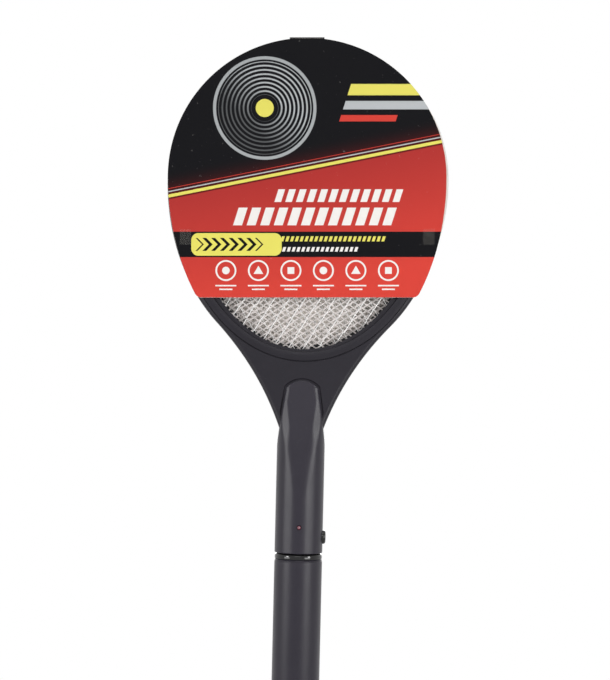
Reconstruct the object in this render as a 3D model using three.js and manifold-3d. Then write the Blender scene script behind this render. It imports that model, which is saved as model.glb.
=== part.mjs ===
// Electric fly swatter: a racket head with three wire nets, a round two-part handle and a retail card sleeve.
// Millimetres. +Z runs up the handle, the front face looks towards -Y, and the origin is the centre of the
// handle's end.
import * as THREE from 'three';
import { mergeVertices } from 'three/addons/utils/BufferGeometryUtils.js';
import Module from 'manifold-3d';

const wasm = await Module();
wasm.setup();

// Clearances
const fitGap = 0.3;
const seatGap = 0.1;
const splitGap = 0.2;

// Round handle
const handleRadius = 17;
const wall = 2;
const tubeLength = 141.7;
const tubeFloor = 3;
const tubeEndFillet = 3;
const tubeMouthBevel = 0.9;
const gripLength = 75.6;
const gripEndFillet = 2.4;
const gripLip = 2.2;

// Glossy joint ring between the two handle parts
const collarHeight = 4.2;
const collarInset = 0.5;
const collarBulge = 1.6;
const spigotWall = 3.4;
const spigotLength = 14;
const collarFlange = 2;

// Thumb rib, a round bar cut by a slanted plane, over the flared neck
const neckHalfWidth = 16;
const neckRise = 12.6;
const ribShoulderHalfWidth = 11.5;
const ribShoulderRise = 29.4;
const ribCrown = 5;
const ribStep = 1;
const facetRunOut = 20;

// Head and neck plate
const headRadius = 99;
const headDrop = 130.4;
const flareJoin = 0.782;
const flareLength = 77.5;
const flareRootRise = 9;
const flareRootHalfWidth = 14.4;
const flareSlope = 0.34;
const plateHalf = 8;
const edgeRound = 2.6;

// Ring inlaid round the window
const headRimWidth = 14;
const headRimDrop = 10.9;
const ringStepWidth = 3.9;
const ringStepDrop = 1.7;
const ringStepDepth = 1.9;
const ringBandWidth = 6;
const ringBandDrop = 6.6;
const ringProud = 0.6;
const ringThick = 2.6;
const ringRound = 0.8;
const shelfThick = 1.2;
const shelfSetBack = 1.5;

// Nets and the spacer frames between them
const netThick = 0.8;
const netRim = 8;
const coarseCellWidth = 12.4;
const coarseCellHeight = 19.8;
const coarseStrand = 1;
const fineCellWidth = 56;
const fineCellHeight = 36.5;
const fineStrand = 1.4;
const backCellWidth = 18.2;
const backCellHeight = 29;
const backStrand = 1.1;
const smallestGapShare = 0.25;
const spacerWidth = 6.5;
const backSpacerWidth = 10;
const spacerBarWidth = 5;

// Batteries in line and their carrier
const cellRadius = 7.1;
const cellLength = 50.5;
const nubRadius = 2.7;
const nubHeight = 1.2;
const carrierWall = 1.8;
const carrierEnd = 2;
const carrierOpening = 1.25;
const finThick = 1.6;
const springRadius = 4.6;
const springHeight = 9;
const springWire = 0.45;
const springCurls = 4;
const stripWidth = 3;
const stripThick = 0.5;
const stripRise = 5;
const tabFront = 2;

// Circuit board and what stands on it
const boardThick = 1.6;
const boardFront = 4;
const boardStandOff = 2.6;
const boardLength = 50;
const coreRise = 29;

// Lamp
const lampRise = 18.8;
const lampRadius = 1.5;
const lampProud = 0.7;
const lampLength = 5.4;
const lampLegSize = 0.5;
const lampLegSpacing = 2.5;

// Side push button with its switch
const buttonRise = 11.2;
const buttonRadius = 4.9;
const buttonProud = 2.2;
const buttonTravel = 1.2;
const buttonFlange = 1.1;
const buttonFlangeThick = 1;
const plungerRadius = 1.2;
const switchSize = 6;
const switchDepth = 5;

// Screws
const screwRadius = 1.2;
const screwHeadRadius = 2.5;
const screwHeadThick = 1.8;
const screwReach = 4.6;
const bossWall = 1.5;
const neckScrewSpacing = 44;
const neckScrewRise = 45;
const neckScrewSeat = 4;
const gripScrewRoom = 5.8;
const gripScrewSeat = 8;

// Leads
const leadRadius = 0.7;

// Card sleeve
const cardThick = 0.6;
const sleeveShort = 0.3;
const sleeveTilt = THREE.MathUtils.degToRad(1.35);
const sleeveRise = 2.2;
const sleeveBottomDrop = 85.1;
const sleeveDropRoom = 8.3;
const sleeveCorner = 2.2;
const backPanelGrow = 1.6;
const backPanelShort = 7.5;
const backPanelShift = 1;
const foldWidth = 24.6;
const foldSink = 0.3;
const sealWidth = 8;
const sealHeight = 11;
const sealThick = 0.2;
const sealDrop = 42.2;
const sealInset = 12.6;

// Facets
const roundSteps = 28;
const smallSteps = 12;
const eggSteps = 48;
const spacerSteps = 28;
const pinSteps = 8;
const screwSteps = 10;

// Heights that follow from the sizes above
const collarBottom = tubeLength + fitGap;
const collarTop = collarBottom + collarHeight;
const gripBottom = collarTop + fitGap;
const gripTop = gripBottom + gripLength;
const ribShoulderZ = gripTop + neckRise + ribShoulderRise;
const ribTop = ribShoulderZ + ribCrown;
const facetStart = gripTop - facetRunOut;
const facetSlope = (handleRadius - plateHalf - ribStep) / (ribTop - facetStart);
const flareRoot = gripTop + flareRootRise;
const headCentre = flareRoot + flareLength + flareJoin * headDrop;
const boardBottom = gripBottom + gripLip + collarFlange + boardStandOff;
const boardTop = boardBottom + boardLength;
const gripScrewZ = boardTop + gripScrewRoom;
const lampZ = gripBottom + lampRise;
const buttonZ = gripBottom + buttonRise;
const shelfTop = plateHalf + ringProud - ringThick - fitGap;
const shelfBottom = shelfTop - shelfThick;
const windowRadius = headRadius - headRimWidth;
const windowDrop = headDrop - headRimDrop;
const netOuterRadius = windowRadius + ringStepWidth + ringBandWidth;
const netOuterDrop = windowDrop + ringStepDrop + ringBandDrop;
const sleeveRadius = headRadius - sleeveShort;
const sleeveDrop = headDrop + sleeveDropRoom;
const backPanelRadius = sleeveRadius + backPanelGrow;
const backPanelDrop = headDrop - backPanelShort;
const sealReach = sleeveRadius - sealInset;

// Helpers

// A closed mesh with its faces pointing out and its shared corners merged.
function closed(geometry) {
  geometry.deleteAttribute('normal');
  geometry.deleteAttribute('uv');
  const merged = mergeVertices(geometry, 1e-4);
  const place = merged.attributes.position;
  const index = merged.index.array;
  const corner = [new THREE.Vector3(), new THREE.Vector3(), new THREE.Vector3()];
  let volume = 0;
  for (let i = 0; i < index.length; i += 3) {
    corner.forEach((point, k) => point.fromBufferAttribute(place, index[i + k]));
    volume += corner[0].dot(corner[1].cross(corner[2]));
  }
  if (volume < 0) {
    for (let i = 0; i < index.length; i += 3) {
      [index[i + 1], index[i + 2]] = [index[i + 2], index[i + 1]];
    }
  }
  return merged;
}

function solid(geometry) {
  const mesh = closed(geometry);
  return new wasm.Manifold(new wasm.Mesh({
    numProp: 3,
    vertProperties: new Float32Array(mesh.attributes.position.array),
    triVerts: new Uint32Array(mesh.index.array),
  }));
}

function geometryOf(body) {
  const mesh = body.getMesh();
  const geometry = new THREE.BufferGeometry();
  geometry.setAttribute('position', new THREE.BufferAttribute(new Float32Array(mesh.vertProperties), 3));
  geometry.setIndex(new THREE.BufferAttribute(new Uint32Array(mesh.triVerts), 1));
  return geometry;
}

function box(x0, x1, y0, y1, z0, z1) {
  const geometry = new THREE.BoxGeometry(x1 - x0, y1 - y0, z1 - z0);
  return geometry.translate((x0 + x1) / 2, (y0 + y1) / 2, (z0 + z1) / 2);
}

// An outline in X and Z, extruded from y0 to y1, with its edges rounded by bevel.
function slab(shape, y0, y1, bevel = 0, bevelSteps = 3, curveSteps = 12) {
  const geometry = new THREE.ExtrudeGeometry(shape, {
    depth: y1 - y0 - 2 * bevel,
    bevelEnabled: bevel > 0,
    bevelThickness: bevel,
    bevelSize: bevel,
    bevelOffset: -bevel,
    bevelSegments: bevelSteps,
    curveSegments: curveSteps,
  });
  return geometry.rotateX(Math.PI / 2).translate(0, y1 - bevel, 0);
}

// An outline in Y and Z, extruded from x0 to x1.
function sideSlab(shape, x0, x1, curveSteps = 12) {
  const geometry = new THREE.ExtrudeGeometry(shape, {
    depth: x1 - x0,
    bevelEnabled: false,
    curveSegments: curveSteps,
  });
  const turn = new THREE.Matrix4().makeBasis(
    new THREE.Vector3(0, 1, 0),
    new THREE.Vector3(0, 0, 1),
    new THREE.Vector3(1, 0, 0),
  );
  return geometry.applyMatrix4(turn).translate(x0, 0, 0);
}

// An outline in X and Y, extruded from z0 to z1.
function column(shape, z0, z1, curveSteps = 12) {
  const geometry = new THREE.ExtrudeGeometry(shape, {
    depth: z1 - z0,
    bevelEnabled: false,
    curveSegments: curveSteps,
  });
  return geometry.translate(0, 0, z0);
}

// A profile of [radius, height] pairs turned about Z.
function turned(profile, steps = roundSteps) {
  const points = profile.map(([radius, height]) => new THREE.Vector2(radius, height));
  return new THREE.LatheGeometry(points, steps).rotateX(Math.PI / 2);
}

// The same about X, with heights along +X, and about Y, with heights along +Y.
function turnedX(profile, steps = smallSteps) {
  return turned(profile, steps).rotateY(Math.PI / 2);
}

function turnedY(profile, steps = smallSteps) {
  return turned(profile, steps).rotateX(-Math.PI / 2);
}

// A quarter round from one corner of a turned profile to the next.
function fillet(centreRadius, centreHeight, size, fromAngle, toAngle, steps = 4) {
  const points = [];
  for (let i = 0; i <= steps; i += 1) {
    const angle = fromAngle + ((toAngle - fromAngle) * i) / steps;
    points.push([centreRadius + size * Math.cos(angle), centreHeight + size * Math.sin(angle)]);
  }
  return points;
}

function roundRod(radius, z0, z1, steps = smallSteps) {
  return turned([[0, z0], [radius, z0], [radius, z1], [0, z1]], steps);
}

function rectangle(x0, x1, y0, y1) {
  const shape = new THREE.Shape();
  shape.moveTo(x0, y0);
  shape.lineTo(x1, y0);
  shape.lineTo(x1, y1);
  shape.lineTo(x0, y1);
  shape.closePath();
  return shape;
}

// A round wire through the given points.
function wire(points, radius = leadRadius, sides = 6, steps = 8) {
  const section = new THREE.Shape();
  section.absarc(0, 0, radius, 0, 2 * Math.PI);
  const path = new THREE.CatmullRomCurve3(points.map((p) => new THREE.Vector3(...p)));
  return new THREE.ExtrudeGeometry(section, { steps, extrudePath: path, curveSegments: sides / 2 });
}

// The head's outline: a half circle over a half ellipse.
function eggPoint(radius, drop, angle) {
  const rise = Math.sin(angle);
  return new THREE.Vector2(radius * Math.cos(angle), headCentre + (rise > 0 ? radius : drop) * rise);
}

function eggOutline(radius, drop, steps = eggSteps) {
  const points = [];
  for (let i = 0; i < steps; i += 1) {
    points.push(eggPoint(radius, drop, (2 * Math.PI * i) / steps));
  }
  return points;
}

// A closed band that follows the head's outline, from a closed profile of [radius, drop, y] corners.
function eggRing(profile, steps = eggSteps) {
  const position = [];
  const index = [];
  for (let i = 0; i < steps; i += 1) {
    profile.forEach(([radius, drop, y]) => {
      const point = eggPoint(radius, drop, (2 * Math.PI * i) / steps);
      position.push(point.x, y, point.y);
    });
  }
  const count = profile.length;
  for (let i = 0; i < steps; i += 1) {
    for (let k = 0; k < count; k += 1) {
      const a = i * count + k;
      const b = i * count + ((k + 1) % count);
      const c = ((i + 1) % steps) * count + k;
      const d = ((i + 1) % steps) * count + ((k + 1) % count);
      index.push(a, b, c, b, d, c);
    }
  }
  const geometry = new THREE.BufferGeometry();
  geometry.setAttribute('position', new THREE.Float32BufferAttribute(position, 3));
  geometry.setIndex(index);
  return geometry;
}

// Materials
function plastic(color, roughness) {
  return new THREE.MeshStandardMaterial({ color, roughness, metalness: 0 });
}

function metal(color, roughness) {
  return new THREE.MeshStandardMaterial({ color, roughness, metalness: 0.9 });
}

const shellPlastic = plastic(0x3a393e, 0.42);
const ringPlastic = plastic(0x37353c, 0.36);
const glossPlastic = plastic(0x17171a, 0.12);
const framePlastic = plastic(0x232326, 0.5);
const netSteel = metal(0xc4c0bd, 0.35);
const springSteel = metal(0xb8b8b4, 0.3);
const boardGreen = plastic(0x2f5a36, 0.5);
const copper = metal(0xb06a3c, 0.35);
const ferrite = plastic(0x4a4644, 0.7);
const filmRed = plastic(0x9c3a22, 0.4);
const partBlack = plastic(0x1c1c1e, 0.45);
const resistorTan = plastic(0xb79f78, 0.5);
const lampRed = plastic(0xb01826, 0.15);
const cellJacket = plastic(0x4a5a66, 0.3);
const wireRed = plastic(0xa02020, 0.45);
const wireBlack = plastic(0x202020, 0.45);
const cardPrint = plastic(0xb8372c, 0.3);
const cardGrey = plastic(0xa79f95, 0.8);
const clearFilm = new THREE.MeshStandardMaterial({
  color: 0xe9e6d8, roughness: 0.15, metalness: 0, transparent: true, opacity: 0.4,
});

const swatter = new THREE.Group();

function add(name, shape, material, group = swatter) {
  const geometry = shape.isBufferGeometry ? closed(shape) : geometryOf(shape);
  const mesh = new THREE.Mesh(geometry, material);
  mesh.name = name;
  group.add(mesh);
  return mesh;
}

// Front view of the head, the flare and the neck plate, drawn inset from the outer edge.
function plateOutline(inset) {
  const radius = headRadius - inset;
  const drop = headDrop - inset;
  const joinAngle = Math.asin(flareJoin);
  const join = eggPoint(radius, drop, -joinAngle);
  const root = new THREE.Vector2(flareRootHalfWidth - inset, flareRoot);
  const tangentX = radius * flareJoin;
  const tangentZ = drop * Math.cos(joinAngle);
  const reach = (join.x - root.x - flareSlope * (join.y - root.y)) / (tangentX - flareSlope * tangentZ);
  const control = new THREE.Vector2(join.x - reach * tangentX, join.y - reach * tangentZ);
  const shape = new THREE.Shape();
  shape.moveTo(-root.x, root.y);
  shape.lineTo(root.x, root.y);
  shape.quadraticCurveTo(control.x, control.y, join.x, join.y);
  const arcSteps = 40;
  const sweep = Math.PI + 2 * joinAngle;
  for (let i = 1; i <= arcSteps; i += 1) {
    const point = eggPoint(radius, drop, -joinAngle + (sweep * i) / arcSteps);
    shape.lineTo(point.x, point.y);
  }
  shape.quadraticCurveTo(-control.x, control.y, -root.x, root.y);
  return shape;
}

// Front view of the round handle and the thumb rib that it ends in.
function ribOutline(inset) {
  const half = handleRadius - inset;
  const shoulder = ribShoulderHalfWidth - inset;
  const top = ribTop - inset;
  const neckZ = gripTop + neckRise;
  const neckCorner = 2 * neckHalfWidth - handleRadius - inset;
  const crownZ = ribShoulderZ - inset;
  const shape = new THREE.Shape();
  shape.moveTo(half, gripBottom - wall);
  shape.lineTo(half, gripTop);
  shape.bezierCurveTo(half, gripTop + neckRise / 2, neckCorner, neckZ + neckRise / 2, shoulder, crownZ);
  shape.bezierCurveTo(shoulder * 0.74, crownZ + ribCrown * 0.64, shoulder * 0.38, top, 0, top);
  shape.bezierCurveTo(-shoulder * 0.38, top, -shoulder * 0.74, crownZ + ribCrown * 0.64, -shoulder, crownZ);
  shape.bezierCurveTo(-neckCorner, neckZ + neckRise / 2, -half, gripTop + neckRise / 2, -half, gripTop);
  shape.lineTo(-half, gripBottom - wall);
  shape.closePath();
  return shape;
}

// Side view of the same bar, with the slanted thumb plane in front and its twin behind.
function ribSide(inset) {
  const out = handleRadius + 1;
  const outZ = facetStart - (1 + inset) / facetSlope;
  const top = ribTop - inset;
  const topHalf = handleRadius - inset - facetSlope * (top - facetStart);
  const shape = new THREE.Shape();
  shape.moveTo(-out, gripBottom - wall);
  shape.lineTo(out, gripBottom - wall);
  shape.lineTo(out, outZ);
  shape.lineTo(topHalf, top);
  shape.lineTo(-topHalf, top);
  shape.lineTo(-out, outZ);
  shape.closePath();
  return shape;
}

function ribBar(inset, bottom, bottomFillet) {
  const radius = handleRadius - inset;
  const start = bottomFillet > 0
    ? fillet(radius - bottomFillet, bottom + bottomFillet, bottomFillet, -Math.PI / 2, 0)
    : [[radius, bottom]];
  const bar = solid(turned([[0, bottom], ...start, [radius, ribTop], [0, ribTop]]));
  const reach = 2 * handleRadius;
  return bar
    .intersect(solid(slab(ribOutline(inset), -reach, reach, 0, 1, 5)))
    .intersect(solid(sideSlab(ribSide(inset), -reach, reach)));
}

// Where the screws hold the two shells together: x, z and the height of the head's seat.
const screwPlaces = [
  [0, gripScrewZ, gripScrewSeat],
  [-neckScrewSpacing / 2, gripTop + neckScrewRise, neckScrewSeat],
  [neckScrewSpacing / 2, gripTop + neckScrewRise, neckScrewSeat],
];

// The two shells, cut from one hollow form at the parting plane.
function shellForm() {
  const plate = solid(slab(plateOutline(0), -plateHalf, plateHalf, edgeRound, 2, 7));
  return plate.add(ribBar(0, gripBottom, gripEndFillet));
}

function shellHollow() {
  const windowShape = new THREE.Shape(eggOutline(windowRadius + shelfSetBack, windowDrop + shelfSetBack));
  const windowHole = solid(slab(windowShape, -plateHalf - 1, plateHalf + 1));
  const recess = new THREE.Shape(eggOutline(netOuterRadius + fitGap, netOuterDrop + fitGap));
  const frontRecess = solid(slab(recess, -plateHalf - 1, -shelfTop));
  const backRecess = solid(slab(recess, shelfTop, plateHalf + 1));
  const stackRoom = solid(slab(recess, -shelfBottom, shelfBottom));
  const neckTop = headCentre - netOuterDrop - wall;
  const neckReach = 2 * headRadius;
  const neckRoom = solid(slab(plateOutline(wall + 1), -plateHalf + wall, plateHalf - wall, 0, 1, 4))
    .intersect(solid(box(-neckReach, neckReach, -plateHalf, plateHalf, gripTop, neckTop)));
  const wireSlot = solid(box(-6, 6, -shelfBottom, shelfBottom, neckTop - wall, neckTop + 2 * wall + fitGap));
  const gripRoom = ribBar(wall, gripBottom + gripLip, 0);
  const boreRadius = handleRadius - wall - spigotWall / 2;
  const collarBore = solid(roundRod(boreRadius, gripBottom - wall, gripBottom + wall + gripLip, roundSteps));
  return windowHole.add(frontRecess).add(backRecess).add(stackRoom).add(neckRoom).add(wireSlot).add(gripRoom)
    .add(collarBore);
}

function buttonRoom() {
  const holeRadius = buttonRadius + fitGap;
  const flangeRadius = buttonRadius + buttonFlange + fitGap;
  const seat = handleRadius - wall - fitGap;
  const profile = [[0, seat - 4], [flangeRadius, seat - 4], [flangeRadius, seat], [holeRadius, seat],
    [holeRadius, handleRadius + 2], [0, handleRadius + 2]];
  return solid(turnedX(profile, smallSteps + 8)).translate([0, 0, buttonZ]);
}

function screwBoss([x, z], y0, y1) {
  const radius = screwRadius + fitGap + bossWall;
  return solid(turnedY([[0, y0], [radius, y0], [radius, y1], [0, y1]])).translate([x, 0, z]);
}

function rodY(radius, y0, y1, x, z) {
  return solid(turnedY([[0, y0], [radius, y0], [radius, y1], [0, y1]])).translate([x, 0, z]);
}

const form = shellForm();
const hollow = shellHollow();
const hull = form.subtract(hollow).subtract(buttonRoom());
const far = 2 * (headCentre + headRadius);
const frontHalf = solid(box(-far, far, -far, -splitGap / 2, -far, far));
const backHalf = solid(box(-far, far, splitGap / 2, far, -far, far));

let frontShell = hull;
let backShell = hull;
const outerFront = form.intersect(frontHalf);
const outerBack = form.intersect(backHalf);
screwPlaces.forEach(([x, z, seat]) => {
  const deep = handleRadius;
  const headRoom = screwHeadRadius + fitGap;
  const wellRadius = headRoom + bossWall;
  frontShell = frontShell.add(screwBoss([x, z], -deep, 0).intersect(outerFront));
  frontShell = frontShell.subtract(rodY(screwRadius + fitGap, -screwReach - fitGap, 1, x, z));
  backShell = backShell.add(screwBoss([x, z], 0, seat).intersect(outerBack));
  backShell = backShell.add(rodY(wellRadius, seat - bossWall, deep, x, z).intersect(outerBack));
  backShell = backShell.subtract(rodY(screwRadius + fitGap, -1, seat + 1, x, z));
  backShell = backShell.subtract(rodY(headRoom, seat, deep + 1, x, z));
});
frontShell = frontShell.intersect(frontHalf)
  .subtract(rodY(lampRadius + fitGap, -handleRadius - 1, -handleRadius + wall + 1, 0, lampZ));
backShell = backShell.intersect(backHalf);
add('front_shell', frontShell, shellPlastic);
add('back_shell', backShell, shellPlastic);

// Ring inlaid round the window, front and back: a crowned band with a lower step next to the net.
function windowRing(side) {
  const face = plateHalf + ringProud;
  const stepFace = face - ringStepDepth;
  const base = face - ringThick;
  const bandIn = [windowRadius + ringStepWidth, windowDrop + ringStepDrop];
  const bandOut = [netOuterRadius, netOuterDrop];
  const at = ([radius, drop], shift, y) => [radius + shift, drop + shift, side * y];
  return eggRing([
    at([windowRadius, windowDrop], 0, base),
    at([windowRadius, windowDrop], 0, stepFace),
    at(bandIn, 0, stepFace),
    at(bandIn, ringRound, face),
    at(bandOut, -ringRound, face),
    at(bandOut, 0, face - ringRound),
    at(bandOut, 0, base),
  ]);
}

add('front_ring', windowRing(-1), ringPlastic);
add('back_ring', windowRing(1), ringPlastic);

// Nets. Each is a thin sheet with a diamond pattern, clipped to a solid rim under the ring.
function clipToConvex(subject, clip) {
  let points = subject;
  for (let i = 0; i < clip.length && points.length > 0; i += 1) {
    const a = clip[i];
    const b = clip[(i + 1) % clip.length];
    const side = (p) => (b.x - a.x) * (p.y - a.y) - (b.y - a.y) * (p.x - a.x);
    const kept = [];
    points.forEach((p, k) => {
      const q = points[(k + 1) % points.length];
      const sp = side(p);
      const sq = side(q);
      if (sp >= 0) kept.push(p);
      if (sp * sq < 0) kept.push(p.clone().lerp(q, sp / (sp - sq)));
    });
    points = kept;
  }
  return points;
}

// Upright prisms over convex outlines in X and Z, as one mesh of separate bodies.
function prisms(outlines, y0, y1) {
  const position = [];
  const index = [];
  outlines.forEach((outline) => {
    const first = position.length / 3;
    const count = outline.length;
    outline.forEach((p) => position.push(p.x, y0, p.y, p.x, y1, p.y));
    for (let k = 0; k < count; k += 1) {
      const a = first + 2 * k;
      const b = first + 2 * ((k + 1) % count);
      index.push(a, b, b + 1, a, b + 1, a + 1);
      if (k > 0 && k < count - 1) index.push(first, b, a, first + 1, a + 1, b + 1);
    }
  });
  const geometry = new THREE.BufferGeometry();
  geometry.setAttribute('position', new THREE.Float32BufferAttribute(position, 3));
  geometry.setIndex(index);
  return geometry;
}

function netSheet(cellWidth, cellHeight, strand, middle) {
  const outline = new THREE.Shape(eggOutline(netOuterRadius - fitGap, netOuterDrop - fitGap, 36));
  const rimLine = eggOutline(netOuterRadius - fitGap - netRim, netOuterDrop - fitGap - netRim, 36);
  const halfWidth = cellWidth / 2;
  const halfHeight = cellHeight / 2;
  const open = 1 - (strand / 2) * Math.hypot(1 / halfWidth, 1 / halfHeight);
  const fullArea = 2 * halfWidth * halfHeight * open * open;
  const columns = Math.ceil(netOuterRadius / cellWidth) + 1;
  const rows = Math.ceil((2 * netOuterDrop) / cellHeight) + 1;
  const gaps = [];
  for (let row = -rows; row <= rows; row += 1) {
    for (let col = -columns; col <= columns; col += 1) {
      const x = (col + (row % 2 === 0 ? 0 : 0.5)) * cellWidth;
      const z = headCentre + row * halfHeight;
      const diamond = [
        new THREE.Vector2(x + open * halfWidth, z),
        new THREE.Vector2(x, z + open * halfHeight),
        new THREE.Vector2(x - open * halfWidth, z),
        new THREE.Vector2(x, z - open * halfHeight),
      ];
      const gap = clipToConvex(diamond, rimLine);
      if (gap.length > 2 && Math.abs(THREE.ShapeUtils.area(gap)) > smallestGapShare * fullArea) gaps.push(gap);
    }
  }
  console.log(`net with ${gaps.length} gaps`);
  return solid(slab(outline, middle - netThick / 2, middle + netThick / 2))
    .subtract(solid(prisms(gaps, middle - netThick, middle + netThick)));
}

const netMiddle = shelfBottom - fitGap - netThick / 2;
add('front_net', netSheet(coarseCellWidth, coarseCellHeight, coarseStrand, -netMiddle), netSteel);
add('middle_net', netSheet(fineCellWidth, fineCellHeight, fineStrand, 0), netSteel);
add('back_net', netSheet(backCellWidth, backCellHeight, backStrand, netMiddle), netSteel);

// Spacer frames keep the nets apart, each with a bar across the middle of the head.
function spacer(side, width) {
  const near = netThick / 2 + fitGap;
  const farSide = netMiddle - netThick / 2 - fitGap;
  const outer = [netOuterRadius - fitGap, netOuterDrop - fitGap];
  const inner = [outer[0] - width, outer[1] - width];
  const band = solid(eggRing([
    [...inner, side * near], [...inner, side * farSide], [...outer, side * farSide], [...outer, side * near],
  ], spacerSteps));
  const low = Math.min(side * near, side * farSide);
  const high = Math.max(side * near, side * farSide);
  const bar = solid(box(-inner[0] - 1, inner[0] + 1, low, high,
    headCentre - spacerBarWidth / 2, headCentre + spacerBarWidth / 2));
  return band.add(bar);
}

add('front_spacer', spacer(-1, spacerWidth), framePlastic);
add('back_spacer', spacer(1, backSpacerWidth), framePlastic);

// Joint ring: a glossy bulge between the handle parts, a spigot for the tube and a flange inside the grip.
const spigotRadius = handleRadius - wall - fitGap;
const spigotBore = spigotRadius - spigotWall;
const collarNeck = handleRadius - wall - spigotWall / 2 - fitGap;
const collarRadius = handleRadius - collarInset;

function jointCollar() {
  const bulge = [];
  const steps = 4;
  for (let i = 0; i <= steps; i += 1) {
    const share = (2 * i) / steps - 1;
    bulge.push([collarRadius - collarBulge * share * share, collarBottom + (collarHeight * i) / steps]);
  }
  const flangeBottom = gripBottom + gripLip + fitGap;
  const flangeTop = flangeBottom + collarFlange - fitGap;
  return turned([
    [spigotBore, collarBottom - spigotLength],
    [spigotRadius - 0.8, collarBottom - spigotLength],
    [spigotRadius, collarBottom - spigotLength + 1.2],
    [spigotRadius, collarBottom],
    ...bulge,
    [collarNeck, collarTop],
    [collarNeck, flangeBottom],
    [handleRadius - wall - fitGap, flangeBottom],
    [handleRadius - wall - fitGap, flangeTop],
    [spigotBore, flangeTop],
    [spigotBore, collarBottom - spigotLength],
  ]);
}

add('joint_collar', jointCollar(), glossPlastic);

// Lower handle: a closed tube that slides off the spigot.
function batteryTube() {
  const bore = handleRadius - wall;
  return turned([
    [0, 0],
    ...fillet(handleRadius - tubeEndFillet, tubeEndFillet, tubeEndFillet, -Math.PI / 2, 0, 5),
    [handleRadius, tubeLength - tubeMouthBevel],
    [handleRadius - tubeMouthBevel, tubeLength],
    [bore, tubeLength],
    [bore, tubeFloor],
    [0, tubeFloor],
  ], roundSteps);
}

add('battery_tube', batteryTube(), shellPlastic);

// Battery carrier: a trough with end walls that hangs from the joint ring, with two fins to the tube's bore.
const carrierInner = cellRadius + fitGap;
const carrierOuter = carrierInner + carrierWall;
const carrierTop = collarBottom - fitGap;
const contactTop = carrierTop - carrierEnd - fitGap;
const cellOneBottom = contactTop - stripThick - seatGap - cellLength;
const cellTwoBottom = cellOneBottom - seatGap - cellLength;
const springBottom = cellTwoBottom - seatGap - springHeight;
const legTop = springBottom - seatGap;
const legBottom = legTop - stripThick;
const carrierFloor = legBottom - fitGap;
const carrierBottom = carrierFloor - carrierEnd;

function batteryCarrier() {
  const trough = new THREE.Shape();
  const startAngle = Math.PI / 2 + carrierOpening;
  const endAngle = 2.5 * Math.PI - carrierOpening;
  trough.absarc(0, 0, carrierOuter, startAngle, endAngle);
  trough.absarc(0, 0, carrierInner, endAngle, startAngle, true);
  trough.closePath();
  const finReach = handleRadius - wall - 2 * fitGap;
  const finTop = collarBottom - spigotLength - fitGap;
  const shelf = spigotBore - fitGap;
  const slotHalf = stripWidth / 2 + fitGap;
  const legSlot = box(-slotHalf, slotHalf, -shelf - 1, -carrierInner / 2, legBottom - fitGap, legTop + fitGap);
  const stripSlot = box(-slotHalf, slotHalf, -shelf - 1, -carrierOuter, carrierTop - carrierEnd - 1, carrierTop + 1);
  const tabSlot = box(-slotHalf, slotHalf, tabFront - fitGap, tabFront + stripThick + fitGap,
    contactTop - 1, carrierTop + 1);
  return solid(column(trough, carrierBottom, carrierTop, 10))
    .add(solid(roundRod(carrierOuter, carrierBottom, carrierFloor, 20)))
    .add(solid(roundRod(shelf, carrierTop - carrierEnd, carrierTop, 20)))
    .add(solid(box(carrierInner + 0.5, finReach, -finThick / 2, finThick / 2, carrierBottom, finTop)))
    .add(solid(box(-finReach, -carrierInner - 0.5, -finThick / 2, finThick / 2, carrierBottom, finTop)))
    .subtract(solid(legSlot))
    .subtract(solid(stripSlot))
    .subtract(solid(tabSlot));
}

add('battery_carrier', batteryCarrier(), framePlastic);

function cell(bottom) {
  const shoulder = cellLength - nubHeight;
  return turned([
    [0, bottom],
    [cellRadius - 0.6, bottom],
    [cellRadius, bottom + 0.6],
    [cellRadius, bottom + shoulder - 0.6],
    [cellRadius - 0.6, bottom + shoulder],
    [nubRadius, bottom + shoulder],
    [nubRadius, bottom + cellLength],
    [0, bottom + cellLength],
  ], smallSteps);
}

add('aa_cell_1', cell(cellOneBottom), cellJacket);
add('aa_cell_2', cell(cellTwoBottom), cellJacket);

// Spring under the lower cell, one unbroken wire with straight ends.
class SpringCurve extends THREE.Curve {
  getPoint(t, target = new THREE.Vector3()) {
    const angle = 2 * Math.PI * springCurls * t;
    const rise = springHeight - 2 * springWire;
    const x = springRadius * Math.cos(angle);
    const y = springRadius * Math.sin(angle);
    return target.set(x, y, springBottom + springWire + rise * t);
  }
}

function helixTube() {
  const sides = 5;
  const stepsPerCurl = 8;
  const steps = springCurls * stepsPerCurl;
  const curve = new SpringCurve();
  const position = [];
  const index = [];
  const ring = (point, tangent) => {
    const radial = new THREE.Vector3(point.x, point.y, 0).normalize();
    const across = new THREE.Vector3().crossVectors(tangent, radial).normalize();
    for (let k = 0; k < sides; k += 1) {
      const angle = (2 * Math.PI * k) / sides;
      const corner = point.clone()
        .addScaledVector(radial, springWire * Math.cos(angle))
        .addScaledVector(across, springWire * Math.sin(angle));
      position.push(corner.x, corner.y, corner.z);
    }
  };
  for (let i = 0; i <= steps; i += 1) {
    const point = curve.getPoint(i / steps);
    const flat = new THREE.Vector3(-point.y, point.x, 0).normalize();
    ring(point, flat);
  }
  for (let i = 0; i < steps; i += 1) {
    for (let k = 0; k < sides; k += 1) {
      const a = i * sides + k;
      const b = i * sides + ((k + 1) % sides);
      index.push(a, b, a + sides, b, b + sides, a + sides);
    }
  }
  const last = steps * sides;
  for (let k = 1; k < sides - 1; k += 1) {
    index.push(0, k + 1, k, last, last + k, last + k + 1);
  }
  const leastGap = (springHeight - 2 * springWire) / springCurls - 2 * springWire;
  console.log(`battery spring: least gap between curls ${leastGap.toFixed(2)} mm`);
  const geometry = new THREE.BufferGeometry();
  geometry.setAttribute('position', new THREE.Float32BufferAttribute(position, 3));
  geometry.setIndex(index);
  return geometry;
}

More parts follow.
